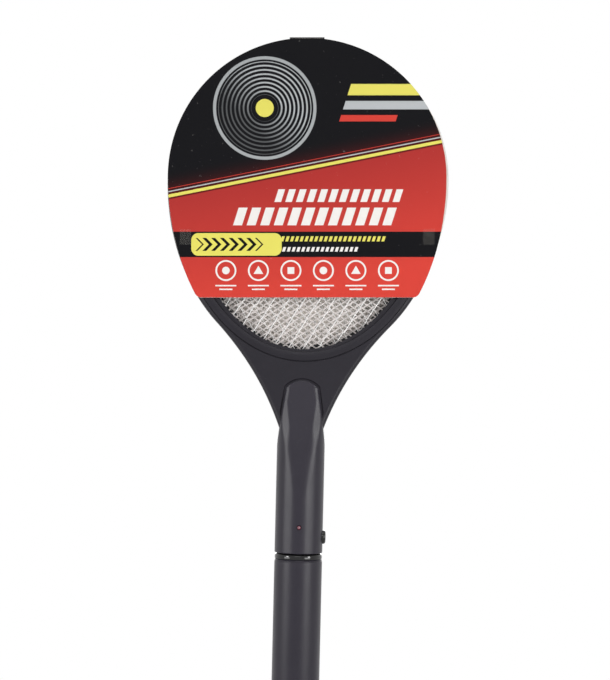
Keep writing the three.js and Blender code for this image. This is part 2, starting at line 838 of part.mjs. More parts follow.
add('battery_spring', helixTube(), springSteel);

// Contact plate over the upper cell with a tab through the carrier's top, and the strip that brings the
// lower end's current back up outside the trough.
function positiveContact() {
  const tabTop = carrierTop + stripRise;
  const half = stripWidth / 2;
  const plateReach = 4;
  const tabBack = tabFront + stripThick;
  return solid(box(-plateReach, plateReach, -plateReach, tabBack, contactTop - stripThick, contactTop))
    .add(solid(box(-half, half, tabFront, tabBack, contactTop - stripThick, tabTop)));
}

function returnStrip() {
  const back = -carrierOuter - seatGap;
  const front = back - stripThick;
  const half = stripWidth / 2;
  return solid(box(-half, half, front, back, legBottom, carrierTop + stripRise))
    .add(solid(box(-half, half, front, springRadius, legBottom, legTop)));
}

add('positive_contact', positiveContact(), springSteel);
add('return_strip', returnStrip(), springSteel);

// Circuit board, held by its edges in the grip, with a notch beside the button.
const boardBack = boardFront + boardThick;
const boardHalfWidth = Math.sqrt((handleRadius - wall) ** 2 - boardBack ** 2) - fitGap;
const seatY = boardFront - seatGap;
const switchEnd = handleRadius - wall - buttonFlangeThick - buttonTravel - 2.6;

function circuitBoard() {
  const notchHalf = buttonRadius + buttonFlange + 2 * fitGap;
  return solid(box(-boardHalfWidth, boardHalfWidth, boardFront, boardBack, boardBottom, boardTop))
    .subtract(solid(box(switchEnd + fitGap, boardHalfWidth + 1, boardFront - 1, boardBack + 1,
      buttonZ - notchHalf, buttonZ + notchHalf)));
}

add('circuit_board', circuitBoard(), boardGreen);

// Step-up transformer: a two-window core with the winding round its middle leg.
const coreZ = boardBottom + coreRise;

function transformerCore() {
  const block = solid(box(-7, 7, seatY - 7.5, seatY - 2.5, coreZ - 6, coreZ + 6));
  const window = (middle) => solid(box(middle - 1.5, middle + 1.5, seatY - 8, seatY, coreZ - 3.8, coreZ + 3.8));
  return block.subtract(window(-3.5)).subtract(window(3.5));
}

function transformerWinding() {
  const shape = new THREE.Shape();
  const middle = seatY - 5;
  shape.absellipse(0, middle, 4.7, 4.9, 0, 2 * Math.PI);
  shape.holes.push(new THREE.Path(rectangle(-2.3, 2.3, middle - 2.8, middle + 2.8).getPoints()));
  return column(shape, coreZ - 3.5, coreZ + 3.5, 8);
}

add('transformer_core', transformerCore(), ferrite);
add('transformer_winding', transformerWinding(), copper);

// Two film capacitors over the transformer and a smaller one beside it.
function filmCapacitor(x, z, width, height, depth) {
  const shape = new THREE.Shape();
  const round = 1;
  shape.moveTo(x - width / 2 + round, z - height / 2);
  shape.lineTo(x + width / 2 - round, z - height / 2);
  shape.quadraticCurveTo(x + width / 2, z - height / 2, x + width / 2, z - height / 2 + round);
  shape.lineTo(x + width / 2, z + height / 2 - round);
  shape.quadraticCurveTo(x + width / 2, z + height / 2, x + width / 2 - round, z + height / 2);
  shape.lineTo(x - width / 2 + round, z + height / 2);
  shape.quadraticCurveTo(x - width / 2, z + height / 2, x - width / 2, z + height / 2 - round);
  shape.lineTo(x - width / 2, z - height / 2 + round);
  shape.quadraticCurveTo(x - width / 2, z - height / 2, x - width / 2 + round, z - height / 2);
  return slab(shape, seatY - depth, seatY, 0, 1, 3);
}

const capacitorZ = coreZ + 12;
add('hv_capacitor_1', filmCapacitor(-4.6, capacitorZ, 8, 10, 6), filmRed);
add('hv_capacitor_2', filmCapacitor(4.6, capacitorZ, 8, 10, 6), filmRed);
add('hv_capacitor_3', filmCapacitor(-10.2, coreZ, 5, 9, 4), filmRed);

// Transistor with a flat front, then diodes and resistors lying on the board.
function transistor() {
  const shape = new THREE.Shape();
  shape.absarc(-8, 0, 2.3, -0.3, Math.PI + 0.3);
  shape.closePath();
  return column(shape, coreZ - 14, coreZ - 9.4, 8).translate(0, seatY - 2.3, 0);
}

function axialPart(x, z, radius, length) {
  return roundRod(radius, z - length / 2, z + length / 2, pinSteps).translate(x, seatY - radius, 0);
}

add('switching_transistor', transistor(), partBlack);
const diodeSpacing = 3.4;
const diodeZ = coreZ - 11;
for (let i = 0; i < 4; i += 1) {
  add(`rectifier_diode_${i + 1}`, axialPart(-3.4 + i * diodeSpacing, diodeZ, 1.2, 4.6), partBlack);
}
const resistorZ = boardBottom + 3.6;
for (let i = 0; i < 3; i += 1) {
  add(`resistor_${i + 1}`, axialPart(-11 + i * 3.2, resistorZ + 6, 1.1, 5.4), resistorTan);
}

// Lamp: a round red lens on two legs.
function lamp() {
  const tip = -handleRadius - lampProud;
  const base = tip + lampLength;
  const dome = fillet(0, -(tip + lampRadius), lampRadius, 0, Math.PI / 2, 4);
  const rim = lampRadius + 0.4;
  const profile = [[0, -base], [rim, -base], [rim, 1 - base], [lampRadius, 1 - base], ...dome.slice(0, -1), [0, -tip]];
  const lens = solid(turnedY(profile).rotateX(Math.PI)).translate([0, 0, lampZ]);
  const leg = (x) => solid(box(x - lampLegSize / 2, x + lampLegSize / 2, base - 0.5, seatY,
    lampZ - lampLegSize / 2, lampZ + lampLegSize / 2));
  return lens.add(leg(-lampLegSpacing / 2)).add(leg(lampLegSpacing / 2));
}

add('lamp', lamp(), lampRed);

// Switch body on the board, with the plunger that the button pushes into it.
function switchBody() {
  const half = switchSize / 2;
  const shape = rectangle(-half, seatY, buttonZ - half, buttonZ + half);
  const bore = new THREE.Path();
  bore.absarc(0, buttonZ, plungerRadius + fitGap, 0, 2 * Math.PI, true);
  shape.holes.push(bore);
  return sideSlab(shape, switchEnd - switchDepth, switchEnd, 8);
}

add('switch_body', switchBody(), partBlack);

const buttonGroup = new THREE.Group();
buttonGroup.position.z = buttonZ;
swatter.add(buttonGroup);
const flangeTopX = handleRadius - wall - 2 * fitGap;
const flangeBottomX = flangeTopX - buttonFlangeThick;

function buttonCap() {
  const tip = handleRadius + buttonProud;
  const domeStart = tip - 1.5;
  return turnedX([
    [0, flangeBottomX],
    [buttonRadius + buttonFlange, flangeBottomX],
    [buttonRadius + buttonFlange, flangeTopX],
    [buttonRadius, flangeTopX],
    [buttonRadius, domeStart],
    [buttonRadius - 0.5, domeStart + 0.9],
    [buttonRadius - 1.6, tip - 0.2],
    [0, tip],
  ], smallSteps + 6);
}

function switchPlunger() {
  const inner = switchEnd - 2;
  return turnedX([[0, inner], [plungerRadius, inner], [plungerRadius, flangeBottomX - seatGap],
    [0, flangeBottomX - seatGap]], 12);
}

add('button_cap', buttonCap(), glossPlastic, buttonGroup);
add('switch_plunger', switchPlunger(), partBlack, buttonGroup);

// Shell screws, driven from the back.
screwPlaces.forEach(([x, z, seat], i) => {
  const top = seat + seatGap;
  const screw = turnedY([
    [0, -screwReach],
    [screwRadius * 0.5, -screwReach],
    [screwRadius, -screwReach + 1],
    [screwRadius, top],
    [screwHeadRadius, top],
    [screwHeadRadius, top + screwHeadThick * 0.5],
    [screwHeadRadius * 0.6, top + screwHeadThick],
    [0, top + screwHeadThick],
  ], screwSteps);
  add(`shell_screw_${i + 1}`, screw.translate(x, 0, z), springSteel);
});

// Leads from the board up through the neck to the three nets, and down to the battery contacts.
const leadEndZ = headCentre - netOuterDrop + 1;
const leadY = seatY - leadRadius - seatGap;
const bossLane = screwRadius + bossWall + 2 * fitGap + leadRadius + 1;
[['front_net_lead', -bossLane, -4.5, -1], ['middle_net_lead', bossLane, 0, 0],
  ['back_net_lead', bossLane + 3, 4.5, 1]].forEach(([name, lane, x, side]) => {
  const endY = side * (netMiddle - netThick / 2 - fitGap - leadRadius);
  add(name, wire([
    [lane, leadY, boardTop - 2],
    [lane, leadY, boardTop + 2],
    [lane, (leadY + endY) / 2, gripScrewZ],
    [x, endY, gripTop + 14],
    [x, endY, leadEndZ - 6],
    [x, endY, leadEndZ - 3],
  ]), side === 0 ? wireRed : wireBlack);
});

add('battery_lead_positive', wire([
  [0, tabFront - leadRadius - seatGap, carrierTop + stripRise - 2.5],
  [0, tabFront - leadRadius - seatGap, carrierTop + stripRise],
  [-3, leadY - 1, boardBottom - 4],
  [-4, leadY, boardBottom],
  [-4, leadY, boardBottom + 2],
], leadRadius, 6, 8), wireRed);
const stripBack = -carrierOuter - seatGap;
add('battery_lead_negative', wire([
  [0, stripBack + leadRadius + seatGap, carrierTop + stripRise - 2.5],
  [0, stripBack + leadRadius + seatGap, carrierTop + stripRise],
  [3, leadY - 6, boardBottom - 4],
  [4, leadY, boardBottom],
  [4, leadY, boardBottom + 2],
], leadRadius, 6, 8), wireBlack);

// Card sleeve: a front panel and a longer back panel that hang from a fold over the top of the head.
const sleeve = new THREE.Group();
sleeve.position.set(0, 0, headCentre + sleeveRise);
sleeve.rotation.y = -sleeveTilt;
swatter.add(sleeve);
const panelY = plateHalf + ringProud + fitGap;
const foldZ = sleeveRadius - foldSink;

function frontPanel() {
  const foldAngle = Math.acos(foldWidth / 2 / sleeveRadius);
  const cornerRun = sleeveCorner * 1.4;
  const sideAngle = Math.asin((sleeveBottomDrop - cornerRun) / sleeveDrop);
  const bottomHalf = sleeveRadius * Math.cos(Math.asin(sleeveBottomDrop / sleeveDrop));
  const shape = new THREE.Shape();
  shape.moveTo(-bottomHalf + cornerRun, -sleeveBottomDrop);
  shape.lineTo(bottomHalf - cornerRun, -sleeveBottomDrop);
  shape.quadraticCurveTo(bottomHalf, -sleeveBottomDrop,
    sleeveRadius * Math.cos(sideAngle), -sleeveBottomDrop + cornerRun);
  shape.absellipse(0, 0, sleeveRadius, sleeveDrop, -sideAngle, 0);
  shape.absarc(0, 0, sleeveRadius, 0, foldAngle);
  shape.lineTo(foldWidth / 2, foldZ);
  shape.lineTo(-foldWidth / 2, foldZ);
  shape.absarc(0, 0, sleeveRadius, Math.PI - foldAngle, Math.PI);
  shape.absellipse(0, 0, sleeveRadius, sleeveDrop, Math.PI, Math.PI + sideAngle);
  shape.quadraticCurveTo(-bottomHalf, -sleeveBottomDrop, -bottomHalf + cornerRun, -sleeveBottomDrop);
  return slab(shape, -panelY - cardThick, -panelY, 0, 1, 8);
}

function backPanel() {
  const shape = new THREE.Shape();
  const foldAngle = Math.acos((foldWidth / 2 - backPanelShift) / backPanelRadius);
  const foldAngleLeft = Math.acos((foldWidth / 2 + backPanelShift) / backPanelRadius);
  shape.absellipse(backPanelShift, 0, backPanelRadius, backPanelDrop, Math.PI, 2 * Math.PI);
  shape.absellipse(backPanelShift, 0, backPanelRadius, sleeveRadius, 0, foldAngle);
  shape.lineTo(foldWidth / 2, foldZ);
  shape.lineTo(-foldWidth / 2, foldZ);
  shape.absellipse(backPanelShift, 0, backPanelRadius, sleeveRadius, Math.PI - foldAngleLeft, Math.PI);
  return slab(shape, panelY, panelY + cardThick, 0, 1, 10);
}

function topFold() {
  const reach = panelY + cardThick;
  const shape = new THREE.Shape();
  const low = foldZ + seatGap;
  const high = low + cardThick;
  shape.moveTo(-reach, low);
  shape.lineTo(reach, low);
  shape.quadraticCurveTo(reach, high, reach - cardThick, high);
  shape.lineTo(-reach + cardThick, high);
  shape.quadraticCurveTo(-reach, high, -reach, low);
  return sideSlab(shape, -foldWidth / 2, foldWidth / 2, 3);
}

function tapeSeal(side) {
  const y = -panelY - cardThick - seatGap;
  const shape = rectangle(-sealWidth / 2, sealWidth / 2, -sealHeight / 2, sealHeight / 2);
  return slab(shape, y - sealThick, y).translate(side * sealReach, 0, -sealDrop);
}

add('sleeve_front_panel', frontPanel(), cardPrint, sleeve);
add('sleeve_back_panel', backPanel(), cardGrey, sleeve);
add('sleeve_top_fold', topFold(), cardPrint, sleeve);
add('tape_seal_left', tapeSeal(-1), clearFilm, sleeve);
add('tape_seal_right', tapeSeal(1), clearFilm, sleeve);

export default swatter;
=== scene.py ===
"""Looks of an electric fly swatter: a racket with three wire nets, a two-part round handle and a card sleeve.

Sizes of the swatter are millimetres, as on a drawing. They become metres where a mesh is placed. Angles are
radians unless a docstring says otherwise. The studio's own sizes are metres.
"""

import logging
import math
from contextlib import contextmanager
from dataclasses import dataclass
from enum import Enum
from typing import Callable, Dict, Iterator, List, Optional, Sequence, Tuple

import bpy
import numpy as np
from mathutils import Euler, Matrix, Vector


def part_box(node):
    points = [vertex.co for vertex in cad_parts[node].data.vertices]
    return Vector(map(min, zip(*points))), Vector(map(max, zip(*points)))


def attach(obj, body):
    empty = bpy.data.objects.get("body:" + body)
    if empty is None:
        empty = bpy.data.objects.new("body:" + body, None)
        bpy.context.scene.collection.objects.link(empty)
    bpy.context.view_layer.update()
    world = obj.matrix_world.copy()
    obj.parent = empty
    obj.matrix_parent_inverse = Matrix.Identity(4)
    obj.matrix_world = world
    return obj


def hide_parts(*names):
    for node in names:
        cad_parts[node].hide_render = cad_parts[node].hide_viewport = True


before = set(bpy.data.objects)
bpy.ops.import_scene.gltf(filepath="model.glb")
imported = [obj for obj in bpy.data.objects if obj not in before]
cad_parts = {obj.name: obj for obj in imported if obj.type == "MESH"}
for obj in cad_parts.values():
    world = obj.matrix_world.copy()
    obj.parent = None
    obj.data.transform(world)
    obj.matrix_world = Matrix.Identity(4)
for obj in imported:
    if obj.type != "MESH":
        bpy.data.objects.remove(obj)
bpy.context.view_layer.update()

LOG = logging.getLogger("fly_swatter")
MM = 0.001
TINY = 1e-12
LAMP_Z = 165.3
BUTTON_Z = 157.7
CELL_BOTTOMS = (88.3, 37.7)
CELL_LENGTH = 50.5
Colour = Tuple[float, float, float]
Point = Tuple[float, float]


def from_screen(red: int, green: int, blue: int) -> Colour:
    """Turns a screen colour of 0 to 255 into the linear values that a shader takes, by the sRGB curve.

    Args:
        red: The red channel.
        green: The green channel.
        blue: The blue channel.

    Returns:
        The linear colour.
    """
    shares = [c / 255 for c in (red, green, blue)]
    return tuple(s / 12.92 if s <= 0.04045 else ((s + 0.055) / 1.055) ** 2.4 for s in shares)


# Workbench: modelling moves used on every piece


class Join(Enum):
    """How one solid meets another."""

    ADD = "UNION"
    CUT = "DIFFERENCE"
    KEEP = "INTERSECT"


def pick(obj: bpy.types.Object) -> None:
    """Selects one object alone and makes it active."""
    if bpy.context.mode != "OBJECT":
        bpy.ops.object.mode_set(mode="OBJECT")
    bpy.ops.object.select_all(action="DESELECT")
    obj.select_set(True)
    bpy.context.view_layer.objects.active = obj


def new_primitive(name: str, make: Callable[..., set], **settings: object) -> bpy.types.Object:
    """Adds one primitive under a name, with nothing else selected.

    Args:
        name: The piece's name.
        make: The operator that adds it.
        **settings: What the operator takes.

    Returns:
        The new object.
    """
    bpy.ops.object.select_all(action="DESELECT")
    make(**settings)
    obj = bpy.context.active_object
    obj.name = name
    return obj


def bake_place(obj: bpy.types.Object) -> None:
    """Moves the object's place, turn and scale into its mesh."""
    pick(obj)
    bpy.ops.object.transform_apply(location=True, rotation=True, scale=True)


def apply_modifier(obj: bpy.types.Object, kind: str, **settings: object) -> None:
    """Adds a modifier, sets it and applies it.

    Args:
        obj: The piece.
        kind: The modifier's type.
        **settings: Its values.
    """
    modifier = obj.modifiers.new(kind.lower(), kind)
    for key, value in settings.items():
        setattr(modifier, key, value)
    pick(obj)
    bpy.ops.object.modifier_apply(modifier=modifier.name)


def meet(obj: bpy.types.Object, tool: bpy.types.Object, how: Join) -> None:
    """Joins, cuts or keeps one solid by another, which is used up.

    Args:
        obj: The solid that stays.
        tool: The solid that it meets.
        how: The way they meet.
    """
    apply_modifier(obj, "BOOLEAN", object=tool, operation=how.value, solver="EXACT")
    bpy.data.objects.remove(tool)


@contextmanager
def editing(obj: bpy.types.Object) -> Iterator[None]:
    """Opens a piece's mesh for editing, with all of it selected, and closes it after."""
    pick(obj)
    bpy.ops.object.mode_set(mode="EDIT")
    bpy.ops.mesh.select_all(action="SELECT")
    yield
    bpy.ops.object.mode_set(mode="OBJECT")


def face_outwards(obj: bpy.types.Object, merge: float = 1e-6, fill: bool = False) -> None:
    """Merges doubled corners, closes open ends if asked, and turns every face outwards.

    Args:
        obj: The piece.
        merge: Corners nearer than this, in metres, become one.
        fill: Whether open ends get a face.
    """
    with editing(obj):
        bpy.ops.mesh.remove_doubles(threshold=merge)
        if fill:
            bpy.ops.mesh.select_all(action="SELECT")
            bpy.ops.mesh.fill_holes(sides=0)
        bpy.ops.mesh.select_all(action="SELECT")
        bpy.ops.mesh.normals_make_consistent(inside=False)


def smooth(obj: bpy.types.Object, angle: float, weighted: bool = True) -> None:
    """Shades a piece smooth except over sharp edges, with flat faces kept flat.

    Args:
        obj: The piece.
        angle: Edges sharper than this, in degrees, stay sharp.
        weighted: Whether large faces lead the shading at their corners.
    """
    pick(obj)
    bpy.ops.object.shade_smooth_by_angle(angle=math.radians(angle))
    if weighted:
        apply_modifier(obj, "WEIGHTED_NORMAL", keep_sharp=True, weight=60)


def rolled(name: str, rings: np.ndarray, loop: bool = False) -> bpy.types.Object:
    """Rolls a grid through rings of points, and closes its ends or joins its last ring to the first.

    Args:
        name: The piece's name.
        rings: Rows of points, in millimetres, with as many points in each row.
        loop: Whether the rows form a loop.

    Returns:
        The closed piece.
    """
    rows, count = rings.shape[:2]
    spans = rows if loop else rows - 1
    obj = new_primitive(name, bpy.ops.mesh.primitive_grid_add, x_subdivisions=count, y_subdivisions=spans, size=1)
    row, col = np.divmod(np.arange((count + 1) * (spans + 1)), count + 1)
    obj.data.vertices.foreach_set("co", (rings[row % rows, col % count] * MM).astype(np.float32).ravel())
    obj.data.update()
    face_outwards(obj, fill=not loop)
    return obj


def spun(name: str, profile: Sequence[Point], axis: str = "Z", centre: Sequence[float] = (0, 0, 0),
         steps: int = 64) -> bpy.types.Object:
    """Draws a profile by extruding a corner along it, and spins it into a solid.

    Args:
        name: The piece's name.
        profile: Pairs of radius and height along the axis, in millimetres, from axis to axis or closed.
        axis: The axis that it turns about.
        centre: A point on that axis, in millimetres.
        steps: How many faces go round.

    Returns:
        The turned piece.
    """
    place = {
        "X": lambda r, h: Vector((h, 0, r)),
        "Y": lambda r, h: Vector((r, h, 0)),
        "Z": lambda r, h: Vector((r, 0, h)),
    }[axis]
    points = [(place(r, h) + Vector(centre)) * MM for r, h in profile]
    obj = new_primitive(name, bpy.ops.mesh.primitive_plane_add, size=MM)
    turn = {"X": (1, 0, 0), "Y": (0, 1, 0), "Z": (0, 0, 1)}[axis]
    with editing(obj):
        bpy.ops.mesh.merge(type="CENTER")
        bpy.ops.transform.translate(value=points[0])
        for here, there in zip(points, points[1:]):
            bpy.ops.mesh.extrude_vertices_move(TRANSFORM_OT_translate={"value": there - here})
        bpy.ops.mesh.select_all(action="SELECT")
        bpy.ops.mesh.spin(steps=steps, angle=2 * math.pi, center=Vector(centre) * MM, axis=turn)
    face_outwards(obj)
    return obj


def slab(name: str, low: Sequence[float], high: Sequence[float], bevel: float = 0) -> bpy.types.Object:
    """A block between two corners, in millimetres, with its edges bevelled if asked.

    Args:
        name: The piece's name.
        low: The lowest corner.
        high: The highest corner.
        bevel: The width of its edges' bevel, 0 for none.

    Returns:
        The block.
    """
    middle = (Vector(low) + Vector(high)) / 2 * MM
    size = (Vector(high) - Vector(low)) * MM
    obj = new_primitive(name, bpy.ops.mesh.primitive_cube_add, size=1, location=middle, scale=size)
    bake_place(obj)
    if bevel:
        apply_modifier(obj, "BEVEL", width=bevel * MM, segments=3, limit_method="ANGLE")
    return obj


def arc(centre: Point, radius: float, start: float, end: float, steps: int) -> List[Point]:
    """Points on an arc, with angles in degrees.

    Args:
        centre: The arc's centre.
        radius: Its radius.
        start: The first angle.
        end: The last angle.
        steps: How many chords it has.

    Returns:
        The points from start to end.
    """
    angles = [math.radians(start + (end - start) * i / steps) for i in range(steps + 1)]
    return [(centre[0] + radius * math.cos(a), centre[1] + radius * math.sin(a)) for a in angles]


def bezier(points: Sequence[Point], steps: int) -> np.ndarray:
    """Points on a Bezier curve with three or four control points, without its last point.

    Args:
        points: Three or four control points.
        steps: How many points to give.

    Returns:
        The points, one to a row.
    """
    t = np.arange(steps)[:, None] / steps
    p = np.array(points, float)
    order = len(points) - 1
    return sum(math.comb(order, k) * (1 - t) ** (order - k) * t**k * p[k] for k in range(order + 1))


def upright(outline: np.ndarray, y: float) -> np.ndarray:
    """Stands an outline of X and Z at a depth Y."""
    return np.stack([outline[:, 0], np.full(len(outline), y), outline[:, 1]], axis=1)


def prism(name: str, outline: np.ndarray, y0: float, y1: float) -> bpy.types.Object:
    """An outline of X and Z drawn out from one depth to another."""
    return rolled(name, np.stack([upright(outline, y0), upright(outline, y1)]))


# Node trees: values written as sums, and the effects that several finishes share


class Signal:
    """A value in a node tree that can be added, scaled and compared like a number."""

    def __init__(self, tree: bpy.types.NodeTree, socket: bpy.types.NodeSocket) -> None:
        """Keeps the tree and the socket that gives the value."""
        self.tree = tree
        self.socket = socket

    def op(self, kind: str, *others: object, clamp: bool = False) -> "Signal":
        """Feeds the value and others through one Math node.

        Args:
            kind: The node's operation.
            *others: Further values or numbers.
            clamp: Whether the result is held between 0 and 1.

        Returns:
            The result.
        """
        node = self.tree.nodes.new("ShaderNodeMath")
        node.operation = kind
        node.use_clamp = clamp
        for slot, value in zip(node.inputs, (self, *others)):
            if isinstance(value, Signal):
                self.tree.links.new(value.socket, slot)
            else:
                slot.default_value = value
        return Signal(self.tree, node.outputs[0])

    def __add__(self, other: object) -> "Signal":
        """The sum."""
        return self.op("ADD", other)

    def __sub__(self, other: object) -> "Signal":
        """The difference."""
        return self.op("SUBTRACT", other)

    def __mul__(self, other: object) -> "Signal":
        """The product."""
        return self.op("MULTIPLY", other)

    def size(self) -> "Signal":
        """The value without its sign."""
        return self.op("ABSOLUTE")

    def under(self, limit: float, soft: float = 0.12) -> "Signal":
        """A mask that is 1 below a limit and 0 above it.

        Args:
            limit: The limit.
            soft: The width of the change.

        Returns:
            The mask.
        """
        return self.op("MULTIPLY_ADD", -1 / soft, limit / soft + 0.5, clamp=True)

    def over(self, limit: float, soft: float = 0.12) -> "Signal":
        """A mask that is 1 above a limit and 0 below it."""
        return self.op("MULTIPLY_ADD", 1 / soft, 0.5 - limit / soft, clamp=True)

    def between(self, low: float, high: float, soft: float = 0.12) -> "Signal":
        """A mask that is 1 between two limits."""
        return (self - (low + high) / 2).size().under((high - low) / 2, soft)

    def wave(self, pitch: float) -> "Signal":
        """The distance to the nearest middle of a repeat, for stripes."""
        return self.op("PINGPONG", pitch / 2)


class Graph:
    """Builds one node tree with short calls."""

    def __init__(self, tree: bpy.types.NodeTree) -> None:
        """Takes the tree to build in."""
        self.tree = tree

    def node(self, kind: str, inputs: Optional[Dict[object, object]] = None, **settings: object) -> bpy.types.Node:
        """Adds a node, sets it and feeds its inputs.

        Args:
            kind: The node's type, without the ShaderNode prefix.
            inputs: Values, sockets or signals by input name or number.
            **settings: The node's own settings.

        Returns:
            The node.
        """
        made = self.tree.nodes.new(kind if kind.startswith("NodeGroup") else "ShaderNode" + kind)
        for key, value in settings.items():
            setattr(made, key, value)
        self.feed(made, inputs or {})
        return made

    def feed(self, node: bpy.types.Node, inputs: Dict[object, object]) -> None:
        """Links or sets some of a node's inputs.

        Args:
            node: The node.
            inputs: Values, sockets or signals by input name or number.
        """
        for key, value in inputs.items():
            if isinstance(value, Signal):
                value = value.socket
            if isinstance(value, bpy.types.NodeSocket):
                self.tree.links.new(value, node.inputs[key])
            else:
                node.inputs[key].default_value = value

    def signal(self, socket: bpy.types.NodeSocket) -> Signal:
        """Wraps a socket so that it can be summed."""
        return Signal(self.tree, socket)

    def place(self) -> bpy.types.NodeSocket:
        """The object coordinates, in metres."""
        return self.node("TexCoord").outputs["Object"]

    def noise(self, vector: object, scale: float, detail: float = 3, roughness: float = 0.5) -> Signal:
        """A noise value round 0.5.

        Args:
            vector: The coordinates.
            scale: How many features lie in a metre.
            detail: How many finer layers it has.
            roughness: How strong those layers are.

        Returns:
            The noise.
        """
        inputs = {"Vector": vector, "Scale": scale, "Detail": detail, "Roughness": roughness}
        return self.signal(self.node("TexNoise", inputs).outputs["Fac"])

    def mix(self, share: object, first: object, second: object) -> bpy.types.NodeSocket:
        """Blends two colours by a share from 0 to 1."""
        inputs = {0: share, 6: first, 7: second}
        inputs = {key: (*value, 1) if isinstance(value, tuple) else value for key, value in inputs.items()}
        return self.node("Mix", inputs, data_type="RGBA", clamp_factor=True).outputs[2]

    def bump(self, height: object, distance: float) -> bpy.types.NodeSocket:
        """A normal from a height, with its depth in metres."""
        return self.node("Bump", {"Height": height, "Distance": distance, "Strength": 1}).outputs["Normal"]

    def stretched(self, vector: object, by: object) -> bpy.types.NodeSocket:
        """Coordinates times a number or a triple."""
        return self.node("VectorMath", {0: vector, 1: by}, operation="MULTIPLY").outputs[0]


def effect(name: str, outputs: Sequence[str], **knobs: object) -> Tuple:
    """Starts a shared effect as a node group that takes coordinates and gives values.

    Args:
        name: The group's name.
        outputs: The name of each value that it gives.
        **knobs: Further inputs with their defaults, a number or a triple.

    Returns:
        The group, its graph, its input node and its output node.
    """
    tree = bpy.data.node_groups.new(name, "ShaderNodeTree")
    for title, default in {"Vector": None, **knobs}.items():
        kind = "NodeSocketFloat" if isinstance(default, float) else "NodeSocketVector"
        socket = tree.interface.new_socket(name=title, in_out="INPUT", socket_type=kind)
        if default is not None:
            socket.default_value = default
    for title in outputs:
        tree.interface.new_socket(name=title, in_out="OUTPUT", socket_type="NodeSocketFloat")
    graph = Graph(tree)
    return tree, graph, graph.node("NodeGroupInput"), graph.node("NodeGroupOutput")


class Effects:
    """The shared effects, each built once."""

    def __init__(self) -> None:
        """Builds the moulding grain, the handling marks and the fine scratches."""
        self.grain = self._grain()
        self.handling = self._handling()
        self.scratches = self._scratches()

    def _grain(self) -> bpy.types.NodeTree:
        """Fine spark-eroded texture of a mould, with slow flow marks."""
        tree, graph, given, out = effect("mould_grain", ("Height", "Flow"), Scale=1.0)
        scaled = graph.stretched(given.outputs["Vector"], given.outputs["Scale"])
        fine, coarse = graph.noise(scaled, 1900, 2, 0.6), graph.noise(scaled, 620, 1, 0.5)
        graph.feed(out, {"Height": fine * 0.65 + coarse * 0.35, "Flow": graph.noise(scaled, 34, 3, 0.6)})
        return tree

    def _handling(self) -> bpy.types.NodeTree:
        """Faint smears and specks of dust that handling leaves."""
        tree, graph, given, out = effect("handling_marks", ("Smear", "Dust"))
        place = given.outputs["Vector"]
        specks = graph.node("TexVoronoi", {"Vector": place, "Scale": 900})
        size = graph.signal(specks.outputs["Distance"]).under(0.13, 0.05)
        rare = graph.noise(place, 210, 1).over(0.63, 0.04)
        graph.feed(out, {"Smear": graph.noise(place, 60, 4, 0.65).op("SUBTRACT", 0.5), "Dust": size * rare})
        return tree

    def _scratches(self) -> bpy.types.NodeTree:
        """Hairlines along one way, as drawn wire and rubbed metal have."""
        tree, graph, given, out = effect("hairlines", ("Height", "Tone"), Stretch=(1.0, 1.0, 1.0))
        drawn = graph.stretched(given.outputs["Vector"], given.outputs["Stretch"])
        graph.feed(out, {"Height": graph.noise(drawn, 2400, 2, 0.6), "Tone": graph.noise(drawn, 420, 3, 0.6)})
        return tree


class Finish:
    """A surface finish that one material is made from."""

    name: str

    def make(self, effects: Effects) -> bpy.types.Material:
        """Makes the material.

        Args:
            effects: The shared effects.

        Returns:
            The material.
        """
        material, graph, shader = blank(self.name)
        self.draw(graph, shader, effects)
        return material

    def draw(self, graph: Graph, shader: bpy.types.Node, effects: Effects) -> None:
        """Feeds the shader with what the finish looks like.

        Args:
            graph: The material's graph.
            shader: Its Principled shader.
            effects: The shared effects.
        """
        raise NotImplementedError


@dataclass(frozen=True)
class Plastic(Finish):
    """A moulded plastic: matt with a grain, or polished where the grain is shallow."""

    name: str
    colour: Colour
    roughness: float
    specular: float
    grain: float = 0.012
    grain_scale: float = 1.0
    dust: float = 0.2
    dust_colour: Colour = (0.22, 0.22, 0.23)

    def draw(self, graph: Graph, shader: bpy.types.Node, effects: Effects) -> None:
        """Lays flow marks and dust over the colour, with the mould's grain as relief."""
        place = graph.place()
        grain = graph.node("Group", {"Vector": place, "Scale": self.grain_scale}, node_tree=effects.grain)
        marks = graph.node("Group", {"Vector": place}, node_tree=effects.handling)
        lighter = tuple(c * 1.16 + 0.0008 for c in self.colour)
        flow = graph.signal(grain.outputs["Flow"]).op("MULTIPLY_ADD", 2.2, -0.6, clamp=True)
        specks = graph.signal(marks.outputs["Dust"]) * self.dust
        graph.feed(shader, {
            "Base Color": graph.mix(specks, graph.mix(flow, self.colour, lighter), self.dust_colour),
            "Roughness": graph.signal(marks.outputs["Smear"]) * 0.16 + self.roughness,
            "Normal": graph.bump(grain.outputs["Height"], self.grain * MM),
            "Specular IOR Level": self.specular,
        })


